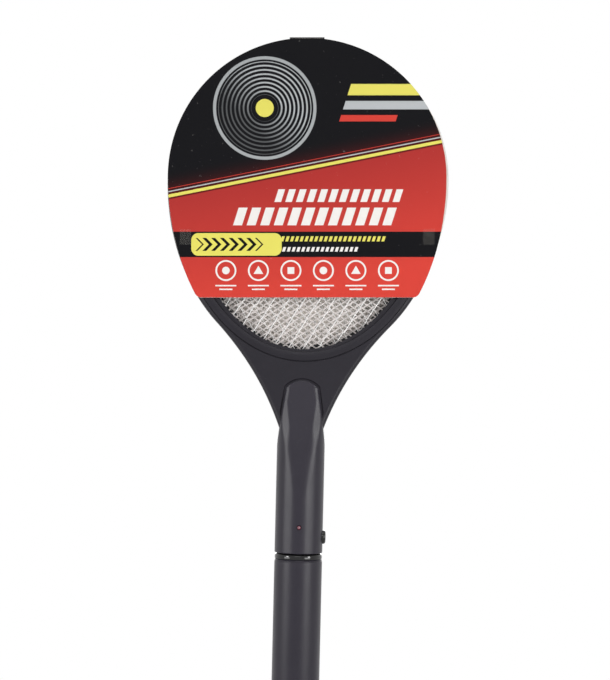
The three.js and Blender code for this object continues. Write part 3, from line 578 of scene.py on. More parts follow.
@dataclass(frozen=True)
class Metal(Finish):
    """A bare or plated metal with hairlines along one way."""

    name: str
    colour: Colour
    shade: Colour
    roughness: float
    stretch: Tuple[float, float, float] = (1.0, 1.0, 0.05)
    metallic: float = 1.0
    spread: float = 0.22

    def draw(self, graph: Graph, shader: bpy.types.Node, effects: Effects) -> None:
        """Lets tone and roughness follow the hairlines, which are the relief too."""
        lines = graph.node("Group", {"Vector": graph.place(), "Stretch": self.stretch}, node_tree=effects.scratches)
        tone = graph.signal(lines.outputs["Tone"])
        graph.feed(shader, {
            "Base Color": graph.mix(tone.op("MULTIPLY_ADD", 2.4, -0.7, clamp=True), self.shade, self.colour),
            "Roughness": tone * self.spread + (self.roughness - self.spread / 2),
            "Normal": graph.bump(lines.outputs["Height"], 0.003 * MM),
            "Metallic": self.metallic,
        })


@dataclass(frozen=True)
class Lens(Finish):
    """The lamp's unlit lens: dull red, with a paler painted highlight in the middle."""

    name: str = "lamp_lens"
    rim: Colour = from_screen(84, 28, 44)
    body: Colour = from_screen(104, 38, 56)
    # painted highlight: a paler pink spot in the middle of the dome
    painted_highlight: Colour = from_screen(158, 116, 126)

    def draw(self, graph: Graph, shader: bpy.types.Node, effects: Effects) -> None:
        """Sets the colours by the distance from the lens's axis."""
        place = graph.place()
        axes = graph.node("SeparateXYZ", {0: place})
        x = graph.signal(axes.outputs["X"]) * (1 / MM)
        z = graph.signal(axes.outputs["Z"]) * (1 / MM) - LAMP_Z
        away = (x * x + z * z).op("SQRT")
        streaks = graph.noise(place, 2600, 2)
        body = graph.mix(away.over(1.05, 0.7), self.body, self.rim)
        # lays the painted highlight over the middle of the lens
        body = graph.mix(away.under(0.5, 0.3) * streaks.op("MULTIPLY_ADD", 0.6, 0.6, clamp=True), body, self.painted_highlight)
        graph.feed(shader, {"Base Color": body, "Roughness": streaks * 0.1 + 0.08, "Coat Weight": 0.5,
                            "Coat Roughness": 0.05})


@dataclass(frozen=True)
class Board(Finish):
    """Grey board with fibres, as the unprinted side and the cut edge of the card show."""

    name: str
    colour: Colour
    fleck: Colour

    def draw(self, graph: Graph, shader: bpy.types.Node, effects: Effects) -> None:
        """Makes the board from cloudy pulp and short dark fibres."""
        place = graph.place()
        cloud = graph.noise(place, 120, 5, 0.6)
        fibre = graph.noise(graph.stretched(place, (1, 1, 5)), 700, 3, 0.7)
        body = graph.mix(cloud.op("MULTIPLY_ADD", 1.8, -0.4, clamp=True), self.colour, self.fleck)
        body = graph.mix(fibre.over(0.66, 0.1) * 0.35, body, tuple(c * 0.6 for c in self.colour))
        graph.feed(shader, {"Base Color": body, "Roughness": fibre * 0.2 + 0.7,
                            "Normal": graph.bump(fibre, 0.02 * MM), "Specular IOR Level": 0.2})


@dataclass(frozen=True)
class Film(Finish):
    """Clear tape, nearly invisible but for its gloss and a few creases."""

    name: str = "clear_tape"
    veil: float = 0.04

    def draw(self, graph: Graph, shader: bpy.types.Node, effects: Effects) -> None:
        """Makes the tape's tint, gloss and thin veil from its creases."""
        creases = graph.noise(graph.place(), 90, 3, 0.6)
        body = graph.mix(creases, from_screen(244, 240, 226), from_screen(226, 224, 214))
        graph.feed(shader, {"Base Color": body, "Roughness": creases * 0.12 + 0.06, "Alpha": creases * self.veil,
                            "Normal": graph.bump(creases, 0.15 * MM)})


@dataclass(frozen=True)
class Jacket(Finish):
    """A battery's printed foil: a dark body with a copper-coloured band at its positive end."""

    name: str
    bottom: float

    def draw(self, graph: Graph, shader: bpy.types.Node, effects: Effects) -> None:
        """Sets the band, its pale line and the bare steel ends by height along the cell."""
        place = graph.place()
        height = graph.signal(graph.node("SeparateXYZ", {0: place}).outputs["Z"]) * (1 / MM)
        share = height - self.bottom
        cloud = graph.noise(place, 260, 3)
        steel = share.over(CELL_LENGTH - 1.6).op("MAXIMUM", share.under(0.7))
        body = graph.mix(cloud, from_screen(36, 38, 44), from_screen(48, 50, 58))
        body = graph.mix(share.over(CELL_LENGTH * 0.72), body, from_screen(168, 104, 58))
        body = graph.mix(share.between(34.6, 35.8), body, from_screen(214, 208, 196))
        body = graph.mix(steel, body, from_screen(186, 186, 184))
        graph.feed(shader, {"Base Color": body, "Roughness": cloud * 0.1 + 0.22, "Metallic": steel * 0.5 + 0.4,
                            "Normal": graph.bump(cloud, 0.01 * MM)})


@dataclass(frozen=True)
class SleevePrint(Finish):
    """The card's printed face: black over red, silver rings, slanted bars, a yellow tab and a row of plain signs."""

    height: float
    tilt: float
    name: str = "sleeve_print"
    black: Colour = from_screen(17, 17, 20)
    red: Colour = from_screen(213, 69, 59)
    deep_red: Colour = from_screen(174, 54, 51)
    yellow: Colour = from_screen(230, 222, 104)
    white: Colour = from_screen(240, 236, 232)
    silver: Colour = from_screen(186, 190, 192)

    def draw(self, graph: Graph, shader: bpy.types.Node, effects: Effects) -> None:
        """Lays shapes over each other in the sleeve's own millimetres, then rubs the ink and varnishes it."""
        place = graph.place()
        turned = graph.node("Mapping", {"Vector": place, "Location": (0, 0, self.height * MM),
                                        "Rotation": (0, -self.tilt, 0), "Scale": (MM, MM, MM)}, vector_type="TEXTURE")
        axes = graph.node("SeparateXYZ", {0: turned.outputs[0]})
        u, v = graph.signal(axes.outputs["X"]), graph.signal(axes.outputs["Z"])
        ink = self._fields(graph, u, v)
        for lay in (self._rings, self._bars, self._signs):
            ink = lay(graph, ink, u, v)
        cloud, fibre = graph.noise(place, 46, 4, 0.6), graph.noise(place, 1500, 2, 0.6)
        rubbed = graph.noise(place, 300, 5, 0.7).over(0.7, 0.08) * 0.12
        graph.feed(shader, {
            "Base Color": graph.mix(rubbed, ink, self.white),
            "Roughness": cloud * 0.2 + 0.32,
            "Normal": graph.bump(fibre * 0.2 + cloud * 1.6, 0.05 * MM),
            "Specular IOR Level": 0.06,
        })

    def _fields(self, graph: Graph, u: Signal, v: Signal) -> bpy.types.NodeSocket:
        """Black above a slanted line and red below it, with stripes along the change."""
        edge = v - (u * 0.2 + 4.0)
        depth = edge.op("MULTIPLY_ADD", -1 / 80, 0.0, clamp=True)
        red = graph.mix(depth, self.deep_red, self.red)
        glow = edge.op("MULTIPLY_ADD", -1 / 22, 1.0, clamp=True).op("POWER", 3.0) * 0.3
        black = graph.mix(glow, self.black, self.deep_red)
        ink = graph.mix(edge.under(0), black, red)
        ink = graph.mix(edge.between(1.2, 3.4), ink, self.yellow)
        ink = graph.mix(edge.between(5.0, 5.8), ink, self.silver)
        return graph.mix(edge.between(7.4, 7.8), ink, self.red)

    def _rings(self, graph: Graph, ink: object, u: Signal, v: Signal) -> bpy.types.NodeSocket:
        """A disc of fine silver rings at the upper left, bright on one side."""
        x, y = u + 30.0, v - 49.0
        away = (x * x + y * y).op("SQRT")
        ridge = away.wave(3.0).under(0.55, 0.3)
        lit = (x * 0.02 + y * 0.02 + 0.62).op("MINIMUM", 0.95).op("MAXIMUM", 0.18)
        ink = graph.mix(ridge * away.between(9.5, 33.0) * lit, ink, self.silver)
        rim = away.between(34.4, 36.6, 0.3)
        ink = graph.mix(rim * 0.8, ink, self.silver)
        return graph.mix(away.under(6.4), ink, self.yellow)

    def _bars(self, graph: Graph, ink: object, u: Signal, v: Signal) -> bpy.types.NodeSocket:
        """Slanted bars in rows, whole ones only, and a black band with a rounded yellow tab."""
        lean = u - v * 0.32
        for left, right, low, high, colour in ((10.0, 62.0, 58.0, 66.0, self.yellow),
                                               (10.0, 74.0, 48.0, 54.0, self.silver),
                                               (10.0, 50.0, 39.5, 44.0, self.red)):
            ink = graph.mix(lean.between(left, right) * v.between(low, high), ink, colour)
        ink = graph.mix(v.between(-56.5, -38.5), ink, self.black)
        for first, last, pitch, half, low, high, colour in ((-2, 9, 7.6, 2.356, -17.5, -8.5, self.white),
                                                            (-4, 7, 9.6, 3.168, -34.0, -21.5, self.white),
                                                            (-3, 20, 3.4, 1.0, -45.4, -41.8, self.yellow),
                                                            (-3, 15, 3.4, 1.0, -52.6, -49.4, self.white)):
            row = lean.between((first - 0.5) * pitch, (last + 0.5) * pitch) * v.between(low, high)
            ink = graph.mix(row * lean.wave(pitch).under(half, 0.2), ink, colour)
        x = (u + 50.0).size().op("SUBTRACT", 27.0).op("MAXIMUM", 0)
        y = (v + 47.5).size().op("SUBTRACT", 3.0).op("MAXIMUM", 0)
        tab = (x * x + y * y).op("SQRT").under(5.0)
        ink = graph.mix(tab, ink, self.yellow)
        arrow = (v + 47.5).size() + u
        inside = arrow.between(-74.4, -31.0) * (v + 47.5).size().under(4.6)
        return graph.mix(arrow.wave(6.2).under(1.35, 0.2) * inside, ink, self.black)

    def _signs(self, graph: Graph, ink: object, u: Signal, v: Signal) -> bpy.types.NodeSocket:
        """Six plain circles with a dot, a triangle or a square in them, each over two lines."""
        pitch = 23.0
        cell = (u * (1 / pitch)).op("FLOOR")
        kind = cell.op("FLOORED_MODULO", 3.0)
        x, y = u - cell * pitch - pitch / 2, v + 66.0
        away = (x * x + y * y).op("SQRT")
        dot = away.under(2.7) * kind.under(0.5)
        triangle = y.over(-2.4) * (x.size() * 1.7 + y).under(3.4) * kind.between(0.5, 1.5)
        square = x.size().op("MAXIMUM", y.size()).under(2.4) * kind.over(1.5)
        lines = x.size().under(7.4) * v.between(-77.2, -76.2)
        lines = lines.op("MAXIMUM", x.size().under(4.6) * v.between(-79.8, -78.8))
        mask = away.between(6.2, 7.4)
        for part in (dot, triangle, square, lines):
            mask = mask.op("MAXIMUM", part)
        return graph.mix(mask * u.size().under(69.0), ink, self.white)


def blank(name: str) -> Tuple[bpy.types.Material, Graph, bpy.types.Node]:
    """Starts a material with one Principled shader.

    Args:
        name: The material's name.

    Returns:
        The material, its graph and its shader node.
    """
    material = bpy.data.materials.new(name)
    material.use_nodes = True
    return material, Graph(material.node_tree), material.node_tree.nodes["Principled BSDF"]


class Finishes:
    """Every finish on the swatter, made once and handed out by name."""

    def __init__(self, sleeve_height: float, sleeve_tilt: float) -> None:
        """Makes the finishes.

        Args:
            sleeve_height: The height of the sleeve's centre.
            sleeve_tilt: Its turn, in radians.
        """
        effects = Effects()
        finishes = (
            Plastic("shell_abs", from_screen(19, 16, 25), 0.41, 0.31),
            # smoother than the shell, and lighter: the lighter colour is painted light that stands in for the light the
            # handle and thumb rib catch
            Plastic("grip_abs_painted_lighter", from_screen(36, 33, 42), 0.37, 0.3),
            Plastic("ring_abs", from_screen(18, 15, 24), 0.4, 0.31, 0.008),
            Plastic("gloss_abs", from_screen(6, 6, 7), 0.1, 0.42, 0.001, 1.0, 0.1),
            Plastic("frame_abs", from_screen(28, 28, 31), 0.5, 0.3),
            Plastic("board_green", from_screen(38, 84, 48), 0.42, 0.4, 0.01, 0.6, 0.3),
            Plastic("ferrite_core", from_screen(58, 54, 52), 0.7, 0.2, 0.03, 0.5),
            Plastic("film_resin", from_screen(150, 54, 32), 0.3, 0.5, 0.01, 0.5, 0.3),
            Plastic("black_resin", from_screen(24, 24, 26), 0.4, 0.4, 0.01, 0.8, 0.4),
            Plastic("resistor_paint", from_screen(186, 160, 118), 0.4, 0.4, 0.01, 0.8, 0.3),
            Plastic("red_sleeving", from_screen(160, 26, 24), 0.38, 0.4, 0.006, 0.7, 0.3),
            Plastic("black_sleeving", from_screen(22, 22, 23), 0.38, 0.4, 0.006, 0.7, 0.3),
            Metal("net_zinc", (0.72, 0.71, 0.7), (0.64, 0.63, 0.62), 0.5, (1, 1, 0.2), 0.3),
            Metal("fine_net_zinc", (0.74, 0.69, 0.67), (0.66, 0.61, 0.59), 0.55, (1, 1, 0.3), 0.2),
            Metal("spring_steel", (0.6, 0.6, 0.59), (0.46, 0.46, 0.45), 0.26),
            Metal("copper_wire", (0.62, 0.3, 0.15), (0.44, 0.19, 0.09), 0.32, (0.1, 1, 1)),
            Lens(),
            Film(),
            Board("board_grey", from_screen(176, 168, 158), from_screen(190, 184, 176)),
            # the back card's inside, made pale where it lies in shade behind the nets: painted light
            Board("board_painted_pale", from_screen(250, 242, 235), from_screen(253, 247, 241)),
            Board("board_core", from_screen(214, 212, 206), from_screen(226, 224, 218)),
            Jacket("cell_jacket_upper", CELL_BOTTOMS[0]),
            Jacket("cell_jacket_lower", CELL_BOTTOMS[1]),
            SleevePrint(sleeve_height, sleeve_tilt),
        )
        self.made: Dict[str, bpy.types.Material] = {each.name: each.make(effects) for each in finishes}

    def coat(self, obj: bpy.types.Object, *names: str) -> None:
        """Gives an object its finishes, in slot order."""
        obj.data.materials.clear()
        for name in names:
            obj.data.materials.append(self.made[name])


def seat(obj: bpy.types.Object, body: str, slot: str, *nodes: str) -> None:
    """Binds a finished piece to its body and hides the nodes that it stands for.

    Args:
        obj: The piece.
        body: The body that carries it.
        slot: The record's material slot, not used.
        *nodes: The nodes that it replaces.
    """
    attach(obj, body)
    if nodes:
        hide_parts(*nodes)
    LOG.info("%s: %d faces on %s", obj.name, len(obj.data.polygons), body)


def paint_faces(obj: bpy.types.Object, test: Callable[[bpy.types.MeshPolygon], int]) -> None:
    """Gives each face the finish whose number a test picks."""
    for face in obj.data.polygons:
        face.material_index = test(face)


@dataclass
class Assembly:
    """A sub-assembly, with the finishes that its pieces take."""

    finishes: Finishes

    def finish(self, obj: bpy.types.Object, angle: float, coats: Sequence[str], body: str, slot: str, *nodes: str,
               paint: Optional[Callable[[bpy.types.MeshPolygon], int]] = None) -> None:
        """Shades, coats and seats one piece.

        Args:
            obj: The piece.
            angle: Edges sharper than this, in degrees, stay sharp.
            coats: Its finishes.
            body: The body that carries it.
            slot: The record's material slot.
            *nodes: The nodes that it replaces.
            paint: A test that gives each face the number of its finish, where there are several.
        """
        smooth(obj, angle)
        self.finishes.coat(obj, *coats)
        if paint:
            paint_faces(obj, paint)
        seat(obj, body, slot, *nodes)


# The swatter


@dataclass(frozen=True)
class HeadShape:
    """Outlines of the head and the flared neck."""

    centre: float = 410.573
    radius: float = 99.0
    drop: float = 130.4
    join: float = 0.782
    root_z: float = 231.1
    root_half: float = 14.4
    slope: float = 0.34
    points: int = 240

    def egg(self, radius: float, drop: float) -> np.ndarray:
        """A half circle over a half ellipse.

        Args:
            radius: The circle's radius, and the ellipse's half width.
            drop: The ellipse's half height.

        Returns:
            The outline's X and Z.
        """
        return self._egg_at(2 * np.pi * np.arange(self.points) / self.points, radius, drop)

    def _egg_at(self, angle: np.ndarray, radius: float, drop: float) -> np.ndarray:
        """The egg's points at some angles, in radians."""
        rise = np.sin(angle)
        return np.stack([radius * np.cos(angle), self.centre + np.where(rise > 0, radius, drop) * rise], axis=1)

    def plate(self) -> np.ndarray:
        """The silhouette of head and neck, from the root's right corner up, over the head and down."""
        start, foot = -math.asin(self.join), 9
        meet_x, meet_z = self.radius * math.cos(start), self.centre + self.drop * math.sin(start)
        run_x, run_z = self.radius * self.join, self.drop * math.cos(start)
        reach = (meet_x - self.root_half - self.slope * (meet_z - self.root_z)) / (run_x - self.slope * run_z)
        control = (meet_x - reach * run_x, meet_z - reach * run_z)
        flank = bezier([(self.root_half, self.root_z), control, (meet_x, meet_z)], 44)
        head = self._egg_at(np.linspace(start, math.pi - start, 201), self.radius, self.drop)
        across = np.linspace(-self.root_half, self.root_half, foot)[1:-1]
        base = np.stack([across, np.full(foot - 2, self.root_z)], axis=1)
        return np.concatenate([flank, head, flank[::-1] * (-1, 1), base])

    @staticmethod
    def inset(outline: np.ndarray, by: float) -> np.ndarray:
        """Moves a closed outline inwards by a distance along its normals."""
        along = np.roll(outline, -1, axis=0) - np.roll(outline, 1, axis=0)
        along /= np.linalg.norm(along, axis=1)[:, None]
        return outline + by * np.stack([-along[:, 1], along[:, 0]], axis=1)


@dataclass(frozen=True)
class RibShape:
    """The round handle's upper bar with its slanted thumb planes and arched top."""

    radius: float = 17.0
    bottom: float = 146.5
    end_round: float = 0.7
    grip_top: float = 222.1
    neck_rise: float = 12.6
    neck_half: float = 16.0
    shoulder: float = 11.5
    shoulder_z: float = 264.1
    top: float = 269.1
    crown_lift: float = 0.64
    crown_hold: Point = (0.74, 0.38)
    facet_start: float = 202.1
    facet_slope: float = 8 / 67.0
    edge_blend: float = 2.4
    wall_blend: float = 1.2
    bevel_turn: float = math.radians(28)
    bevel_ramp: float = math.radians(14)
    bevel_depth: float = 1.45
    bevel_blend: float = 0.5
    halvings: int = 26

    def side(self) -> np.ndarray:
        """The bar's right side in the front view, from the round handle up to the shoulder."""
        corner = 2 * self.neck_half - self.radius
        neck_z = self.grip_top + self.neck_rise / 2
        return bezier(
            [(self.radius, self.grip_top), (self.radius, neck_z), (corner, neck_z + self.neck_rise),
             (self.shoulder, self.shoulder_z)], 30)

    def outline(self) -> np.ndarray:
        """The bar's front view, closed, from its lower right corner upwards, with room below for its end."""
        crown_rise = self.shoulder_z + (self.top - self.shoulder_z) * self.crown_lift
        wide, narrow = self.crown_hold
        crown = bezier(
            [(self.shoulder, self.shoulder_z), (self.shoulder * wide, crown_rise), (self.shoulder * narrow, self.top),
             (0, self.top)], 20)
        right = np.concatenate([[(self.radius, self.bottom - 40)], self.side(), crown])
        return np.concatenate([right, [(0, self.top)], right[::-1] * (-1, 1)])

    def bevel(self, z: np.ndarray) -> np.ndarray:
        """How far from the axis the bevel between thumb plane and side lies, measured along its own normal.

        Args:
            z: The heights.

        Returns:
            One distance for each height, the bar's radius where there is no bevel yet.
        """
        half = np.minimum(self.radius, self.radius - self.facet_slope * (z - self.facet_start))
        turn = np.arccos(half / self.radius)
        side = self.side()
        edge = np.interp(z, side[:, 1], side[:, 0])
        edge = np.minimum(self.radius * np.sin(turn), np.where(z > self.shoulder_z, self.shoulder, edge))
        share = np.clip((turn - self.bevel_turn) / self.bevel_ramp, 0, 1)
        depth = self.bevel_depth * share * share * (3 - 2 * share)
        found = edge * math.sin(self.bevel_turn) + half * math.cos(self.bevel_turn) - depth
        return np.where(turn > self.bevel_turn, found, self.radius)

    @staticmethod
    def depth_in(points: np.ndarray, outline: np.ndarray) -> np.ndarray:
        """Signed distance from points to a closed outline, negative inside.

        Args:
            points: X and Z of each point.
            outline: The outline's corners.

        Returns:
            One distance for each point.
        """
        a, b = outline, np.roll(outline, -1, axis=0)
        run = b - a
        offset = points[:, None, :] - a[None]
        share = np.clip((offset * run).sum(-1) / np.maximum((run * run).sum(-1), TINY), 0, 1)
        away = np.sqrt(((offset - share[..., None] * run) ** 2).sum(-1)).min(axis=1)
        x, z = points[:, :1], points[:, 1:]
        crosses = (a[:, 1] > z) != (b[:, 1] > z)
        at = a[:, 0] + (z - a[:, 1]) * run[:, 0] / np.where(np.abs(run[:, 1]) < TINY, TINY, run[:, 1])
        inside = (crosses & (x < at)).sum(axis=1) % 2 == 1
        return np.where(inside, -away, away)

    @staticmethod
    def blend_max(a: np.ndarray, b: np.ndarray, width: np.ndarray) -> np.ndarray:
        """The larger of two distances, rounded over where they are near alike."""
        wide = np.maximum(width, 1e-9)
        near = np.maximum(wide - np.abs(a - b), 0) / wide
        return np.maximum(a, b) + near * near * wide / 4

    def rings(self, heights: np.ndarray, count: int, inset: float = 0, sharp: bool = False) -> np.ndarray:
        """Cross-sections of the bar, found outwards from its axis.

        Args:
            heights: The Z of each section.
            count: Points in a section, a multiple of four.
            inset: How far inside the bar's skin they lie.
            sharp: Whether its edges stay square.

        Returns:
            Rows of points.
        """
        angle = np.linspace(0, np.pi / 2, count // 4 + 1)
        z, a = np.meshgrid(heights, angle, indexing="ij")
        cosine, sine = np.cos(a), np.sin(a)
        outline = self.outline()
        low, high = np.zeros_like(z), np.full_like(z, self.radius)
        lift = np.clip(heights - self.bottom, 0, self.end_round)
        skin = self.radius - self.end_round + np.sqrt(self.end_round**2 - (self.end_round - lift) ** 2)
        skin = (np.full(len(heights), self.radius) if sharp else skin)[:, None]
        half = self.radius - self.facet_slope * (z - self.facet_start)
        edge, reach = 0 if sharp else self.edge_blend, self.bevel(z)
        fade = 0 if sharp else self.wall_blend * np.clip((z - self.grip_top) / self.neck_rise, 0, 1)
        for _ in range(self.halvings):
            r = (low + high) / 2
            side = self.depth_in(np.stack([(r * cosine).ravel(), z.ravel()], axis=1), outline).reshape(z.shape)
            body = self.blend_max(r - skin, r * sine - half, edge)
            if not sharp:
                bevel = r * (cosine * math.sin(self.bevel_turn) + sine * math.cos(self.bevel_turn)) - reach
                body = self.blend_max(body, bevel, self.bevel_blend)
            out = self.blend_max(body, side, fade) + inset
            high = np.where(out > 0, r, high)
            low = np.where(out > 0, low, r)
        x, y = low * cosine, low * sine
        first = np.stack([x, y, z], axis=2)
        second = (first * (-1, 1, 1))[:, ::-1][:, 1:]
        third = (first * (-1, -1, 1))[:, 1:]
        fourth = (first * (1, -1, 1))[:, ::-1][:, 1:-1]
        return np.concatenate([first, second, third, fourth], axis=1)


@dataclass
class RacketShells(Assembly):
    """The two moulded halves of head, neck and upper handle."""

    shape: HeadShape = HeadShape()
    rib: RibShape = RibShape()
    plate_half: float = 8.0
    edge_round: float = 3.4
    wall: float = 2.0
    split_gap: float = 0.2
    window: Point = (86.5, 121.0)
    recess: Point = (95.2, 128.1)
    recess_floor: float = 6.3
    shelf_back: float = 4.5
    lip_round: float = 0.35
    moat: Point = (1.3, 0.6)
    moat_from: float = 243.0
    moat_slant: float = 0.55
    merge: float = 2e-7
    screws: Tuple[Tuple[float, float, float], ...] = ((0, 209.1, 8), (-22, 267.1, 4), (22, 267.1, 4))

    def build(self) -> None:
        """Builds the outer form, hollows it and parts it into its halves."""
        form = self._plate()
        self._moat(form)
        meet(form, self._bar(), Join.ADD)
        for tool in self._rooms():
            meet(form, tool, Join.CUT)
        far, deep, below, gap = 600.0, 40.0, 100, self.split_gap / 2
        for name, node, low, high in (
            ("racket_front_shell", "front_shell", -deep, -gap),
            ("racket_back_shell", "back_shell", gap, deep),
        ):
            pick(form)
            bpy.ops.object.duplicate()
            half = bpy.context.active_object
            half.name = name
            meet(half, slab("half_space", (-far, low, below), (far, high, far)), Join.KEEP)
            if node == "back_shell":
                self._tongues(half)
            face_outwards(half, self.merge, fill=True)
            # the bar's faces take the lighter grip finish, whose lighter colour is painted light
            self.finish(half, 34, ("shell_abs", "grip_abs_painted_lighter"), "racket", "shell_plastic", node, paint=self._on_bar(half))
        bpy.data.objects.remove(form)

    def _moat(self, form: bpy.types.Object) -> None:
        """Sinks a fine shadow line round the thumb rib's crown into both faces of the plate.

        Args:
            form: The plate, before the bar is joined to it.
        """
        outline = self.rib.outline()
        apart = np.linalg.norm(outline - np.roll(outline, 1, axis=0), axis=1) > 1e-6
        outline = outline[apart & (outline[:, 1] > self.moat_from)]
        width, depth = self.moat
        floor = self.plate_half - depth
        for side in (-1, 1):
            rings = [upright(self.shape.inset(outline, -grow), side * y)
                     for grow, y in ((self.moat_slant * width, floor), (width, self.plate_half),
                                     (width, self.plate_half + 1))]
            meet(form, rolled("moat", np.stack(rings)), Join.CUT)

    def _on_bar(self, half: bpy.types.Object) -> Callable[[bpy.types.MeshPolygon], int]:
        """Makes the test that gives the round handle and the thumb rib their smoother finish, whose lighter colour is
        painted light.

        Args:
            half: One of the shells.

        Returns:
            A test of one face, 1 on the bar and 0 on the plate.
        """
        margin, facing, above = 0.05, 0.99, 0.3
        middles = np.array([face.center for face in half.data.polygons]) / MM
        inside = self.rib.depth_in(middles[:, (0, 2)], self.rib.outline()) < margin

        def test(face: bpy.types.MeshPolygon) -> int:
            """Tells bar from plate, whose large flat faces have their middles on the bar too."""
            flat = abs(face.normal.y) > facing and abs(middles[face.index][1]) < self.plate_half + above
            return int(inside[face.index] and not flat)

        return test

    def _tongues(self, half: bpy.types.Object) -> None:
        """Adds the thin tongues that stand behind the split along the handle, short of the button.

        Args:
            half: The back shell.
        """
        room, top = self.rib.radius - self.wall, self.rib.grip_top - 4
        for side, low in ((-1, 152.0), (1, 166.0)):
            for start, y0, reach, y1, rise in ((0.6, -1.2, -0.12, 1.2, 0), (0.4, 0.3, 0.6, 1.0, 0.5)):
                xs = sorted((side * (room - start), side * (room + reach)))
                meet(half, slab("tongue", (xs[0], y0, low + rise), (xs[1], y1, top - rise)), Join.ADD)

    def _plate(self) -> bpy.types.Object:
        """The flat head and flared neck, with its outer edge rounded."""
        outline = self.shape.plate()
        flat = self.plate_half - self.edge_round
        turn = np.linspace(90, 0, 9)
        steps = [(self.edge_round * (1 - math.cos(math.radians(t))), flat + self.edge_round * math.sin(math.radians(t)))
                 for t in turn]
        sides = [(by, -y) for by, y in steps] + [(by, y) for by, y in reversed(steps)]
        return rolled("plate", np.stack([upright(self.shape.inset(outline, by), y) for by, y in sides]))

    def _bar(self) -> bpy.types.Object:
        """The round upper handle and the thumb rib, with its rows closest together at the crown."""
        rib, denser, densest = self.rib, 176, 262
        low = rib.bottom + rib.end_round
        heights = np.concatenate([
            rib.bottom + rib.end_round * (1 - np.cos(np.linspace(0, np.pi / 2, 8))),
            np.linspace(low, denser, 7)[1:],
            np.linspace(denser, densest, 66)[1:],
            np.linspace(densest, rib.top - 0.3, 34)[1:],
        ])
        return rolled("bar", rib.rings(heights, 160))

    def _rooms(self) -> List[bpy.types.Object]:
        """The tools that hollow the form: window, ring recesses, net slot, handle, lamp, button and screws."""
        shape, far = self.shape, 9.0
        lip = [(self.lip_round * (1 - math.cos(t)), self.plate_half - self.lip_round * (1 - math.sin(t)))
               for t in np.linspace(0, np.pi / 2, 6)]
        tools = [prism("window", shape.egg(*self.window), -far, far)]
        for side in (-1, 1):
            rows = [(0, self.recess_floor), *[(self.lip_round - w, y) for w, y in reversed(lip)], (self.lip_round, far)]
            rings = [upright(shape.egg(self.recess[0] + grow, self.recess[1] + grow), side * y) for grow, y in rows]
            tools.append(rolled("ring_recess", np.stack(rings)))
        tools.append(prism("net_slot", shape.egg(*self.recess), -self.shelf_back, self.shelf_back))
        tools.append(self._cavity())
        bore, mouth, skin = 1.6, 1.85, -18
        tools.append(spun("lamp_hole", [(0, skin), (mouth, skin), (mouth, -16.95), (bore, -16.7), (bore, -14),
                                        (0, -14)], "Y", (0, 0, LAMP_Z), 48))
        hole, flange, rest, step, out = 5.2, 6.3, 14.7, 17.2, 19
        tools.append(spun("button_hole", [(0, rest - 4), (flange, rest - 4), (flange, rest), (hole, rest),
                                          (hole, 16.4), (hole + 0.5, step), (hole + 0.5, out), (0, out)],
                          "X", (0, 0, BUTTON_Z)))
        thread, head, low, high = 1.5, 2.8, -4.9, 18
        for x, z, floor in self.screws:
            tools.append(spun("screw_well", [(0, low), (thread, low), (thread, floor), (head, floor), (head, high),
                                             (0, high)], "Y", (x, 0, z), 40))
        return tools

    def _cavity(self) -> bpy.types.Object:
        """The hollow of handle and neck, with the screws' bosses left standing."""
        rib, denser, crown = self.rib, 200, 266
        heights = np.concatenate([np.linspace(148.7, denser, 5), np.linspace(denser, crown, 24)[1:]])
        room = rolled("cavity", rib.rings(heights, 64, self.wall, True))
        bore, low, high = 13.3, 144, 151
        meet(room, spun("bore", [(0, low), (bore, low), (bore, high), (0, high)]), Join.ADD)
        outline = self.shape.inset(self.shape.plate(), self.wall + 1)
        neck = prism("neck_room", outline, -self.plate_half + self.wall, self.plate_half - self.wall)
        wide, deep, top = 200, 9, 280.8
        meet(neck, slab("band", (-wide, -deep, rib.grip_top), (wide, deep, top)), Join.KEEP)
        meet(room, neck, Join.ADD)
        wide, deep, low, high = 6, 4.4, 279, 285
        meet(room, slab("wire_slot", (-wide, -deep, low), (wide, deep, high)), Join.ADD)
        foot, boss, far = 3, 4.3, 20
        for x, z, floor in self.screws:
            meet(room, spun("boss", [(0, -far), (foot, -far), (foot, 0), (boss, floor - 1.5), (boss, far), (0, far)],
                            "Y", (x, 0, z), 32), Join.CUT)
        return room


